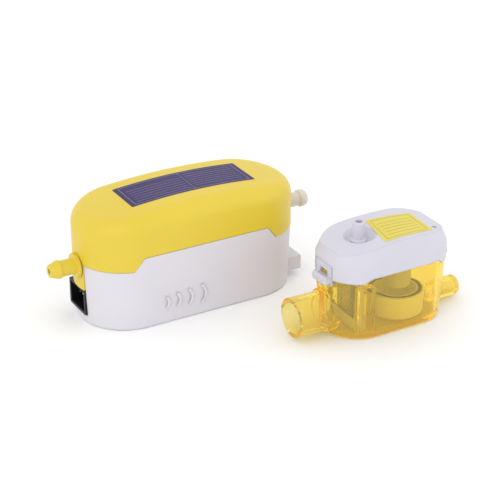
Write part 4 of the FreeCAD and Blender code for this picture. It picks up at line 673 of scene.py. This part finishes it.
def cell_foam(name, colour, shade, cells_per_metre):
    """Cut closed-cell foam: fine round cells that show as small pits, with painted shade in their
    hollows.
    """
    material = plain_finish(name, colour, roughness=0.7)
    tree = material.node_tree
    place = tree.nodes.new("ShaderNodeTexCoord")
    cells = tree.nodes.new("ShaderNodeTexVoronoi")
    cells.inputs["Scale"].default_value = cells_per_metre
    tree.links.new(place.outputs["Object"], cells.inputs["Vector"])
    # The darker colour in the middle of each cell is painted shade in the pit.
    two_colours(tree, cells.outputs["Distance"], shade, colour)
    relief(tree, cells.outputs["Distance"], strength=0.15, depth=CELL_DEPTH)
    return material


FLOAT_FOAM = cell_foam("Float foam", (0.97, 0.95, 0.84), (0.94, 0.91, 0.77), CELLS_PER_METRE)
FERRITE = moulded_plastic("Ferrite", (0.035, 0.035, 0.037), gloss=(0.45, 0.6), bump=0.2)
for name, finish in (("float_ring", FLOAT_FOAM), ("float_magnet", FERRITE), ("sensor_well", WHITE_ABS),
                     ("sensor_board", BOARD_GREEN), ("level_sensors", BLACK_PLASTIC)):
    smooth_skin(name, finish)


# Lid and its latches
# White lid with a crowned top, a shallow dish round the suction nipple and a small vent.
# A springy tongue at each end snaps over a catch on the tank.
LID_CORNER_ANGLE = 38
# The lid's white is darker and bluer than the base's: the bluer tone is its own, and part of the
# darkening is painted shade.
LID_ABS = moulded_plastic("White lid ABS", (0.625, 0.61, 0.69), edge=0.0007)
smooth_skin("reservoir_lid", LID_ABS, corner=LID_CORNER_ANGLE)
for name in ("lid_latch_left", "lid_latch_right", "suction_tube"):
    smooth_skin(name, LID_ABS)


# Notice label on the lid
# Yellow film with a thin dark frame line and a few blank ruled lines.
# It is stuck on the crown beside the nipple.
NOTICE_CORNERS = ((-0.0060, -0.0112), (0.0166, -0.0108), (0.0176, 0.0066), (-0.0026, 0.0080))
NOTICE_CORNER = 0.0006
NOTICE_INSET = (0.0017, 0.0014)
NOTICE_RULE = 0.00018
CROWN_RADIUS = 0.110
CROWN_MIDDLE = 0.0034
lid_low, lid_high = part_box("reservoir_lid")
lid_middle = (lid_low + lid_high) / 2


def crown_height(across):
    """Height of the lid's long crown at this place along it."""
    return lid_high.z - (across - lid_middle.x - CROWN_MIDDLE) ** 2 / (2 * CROWN_RADIUS)


notice_rules = ruled_lines(
    middle=0.0, length=0.0150, count=5, pitch=0.0024, width=NOTICE_RULE, rise=-0.0004)
notice = film_label("notice_label", [(lid_middle.x + x, lid_middle.y + y) for x, y in NOTICE_CORNERS],
                    NOTICE_CORNER, NOTICE_INSET, notice_rules, "reservoir_lid", crown=crown_height)
notice.data.materials.append(
    printed_film("Yellow film", (0.73, 0.61, 0.085), roughness=0.42, specular=0.4))
notice.data.materials.append(
    printed_film("Dark printed line", (0.16, 0.12, 0.015), roughness=0.42, specular=0.4))
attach(notice, "lid")


# Studio
# White paper sweep, a soft box over the left shoulder, a weaker one on the right and an even white
# surround. The camera stands at the photograph's place.
FLOOR_SIZE = 6.0
FLOOR_HEIGHT = -0.0001
SURROUND_STRENGTH = 1.04
PAPER = plain_finish("Studio paper", (0.97, 0.97, 0.97), roughness=0.9)
bpy.ops.object.select_all(action="DESELECT")
bpy.ops.mesh.primitive_plane_add(size=FLOOR_SIZE, location=(0, 0, FLOOR_HEIGHT))
floor = bpy.context.object
floor.name = "studio_floor"
floor.data.materials.append(PAPER)

world = bpy.data.worlds.new("Studio surround")
bpy.context.scene.world = world
world.use_nodes = True
world.node_tree.nodes["Background"].inputs["Color"].default_value = (1.0, 1.0, 1.0, 1.0)
world.node_tree.nodes["Background"].inputs["Strength"].default_value = SURROUND_STRENGTH


def soft_box(name, place, aim, size, power):
    """Square area light that looks at a point."""
    bpy.ops.object.light_add(type="AREA", location=place)
    lamp = bpy.context.object
    lamp.name = name
    lamp.data.shape = "SQUARE"
    lamp.data.size = size
    lamp.data.energy = power
    lamp.rotation_euler = (Vector(aim) - Vector(place)).to_track_quat("-Z", "Y").to_euler()


TARGET = Vector((0.031084, 0.0, 0.011544))
soft_box("key_box", (-0.75, -0.50, 0.70), TARGET, size=0.7, power=1.8)
soft_box("fill_box", (0.80, -0.35, 0.45), TARGET, size=0.7, power=0.7)

AZIMUTH = -29.876
ELEVATION = 26.39
DISTANCE = 0.68312
LENS = 118.04
SENSOR_WIDTH = 36.0
NEAREST = 0.01
bearing = math.radians(AZIMUTH)
climb = math.radians(ELEVATION)
level = math.cos(climb)
away = Vector((math.sin(bearing) * level, -math.cos(bearing) * level, math.sin(climb)))
bpy.ops.object.camera_add(location=TARGET + away * DISTANCE)
camera = bpy.context.object
camera.rotation_euler = (-away).to_track_quat("-Z", "Y").to_euler()
camera.data.lens = LENS
camera.data.sensor_width = SENSOR_WIDTH
camera.data.clip_start = NEAREST
bpy.context.scene.camera = camera
bpy.context.scene.view_settings.view_transform = "Standard"
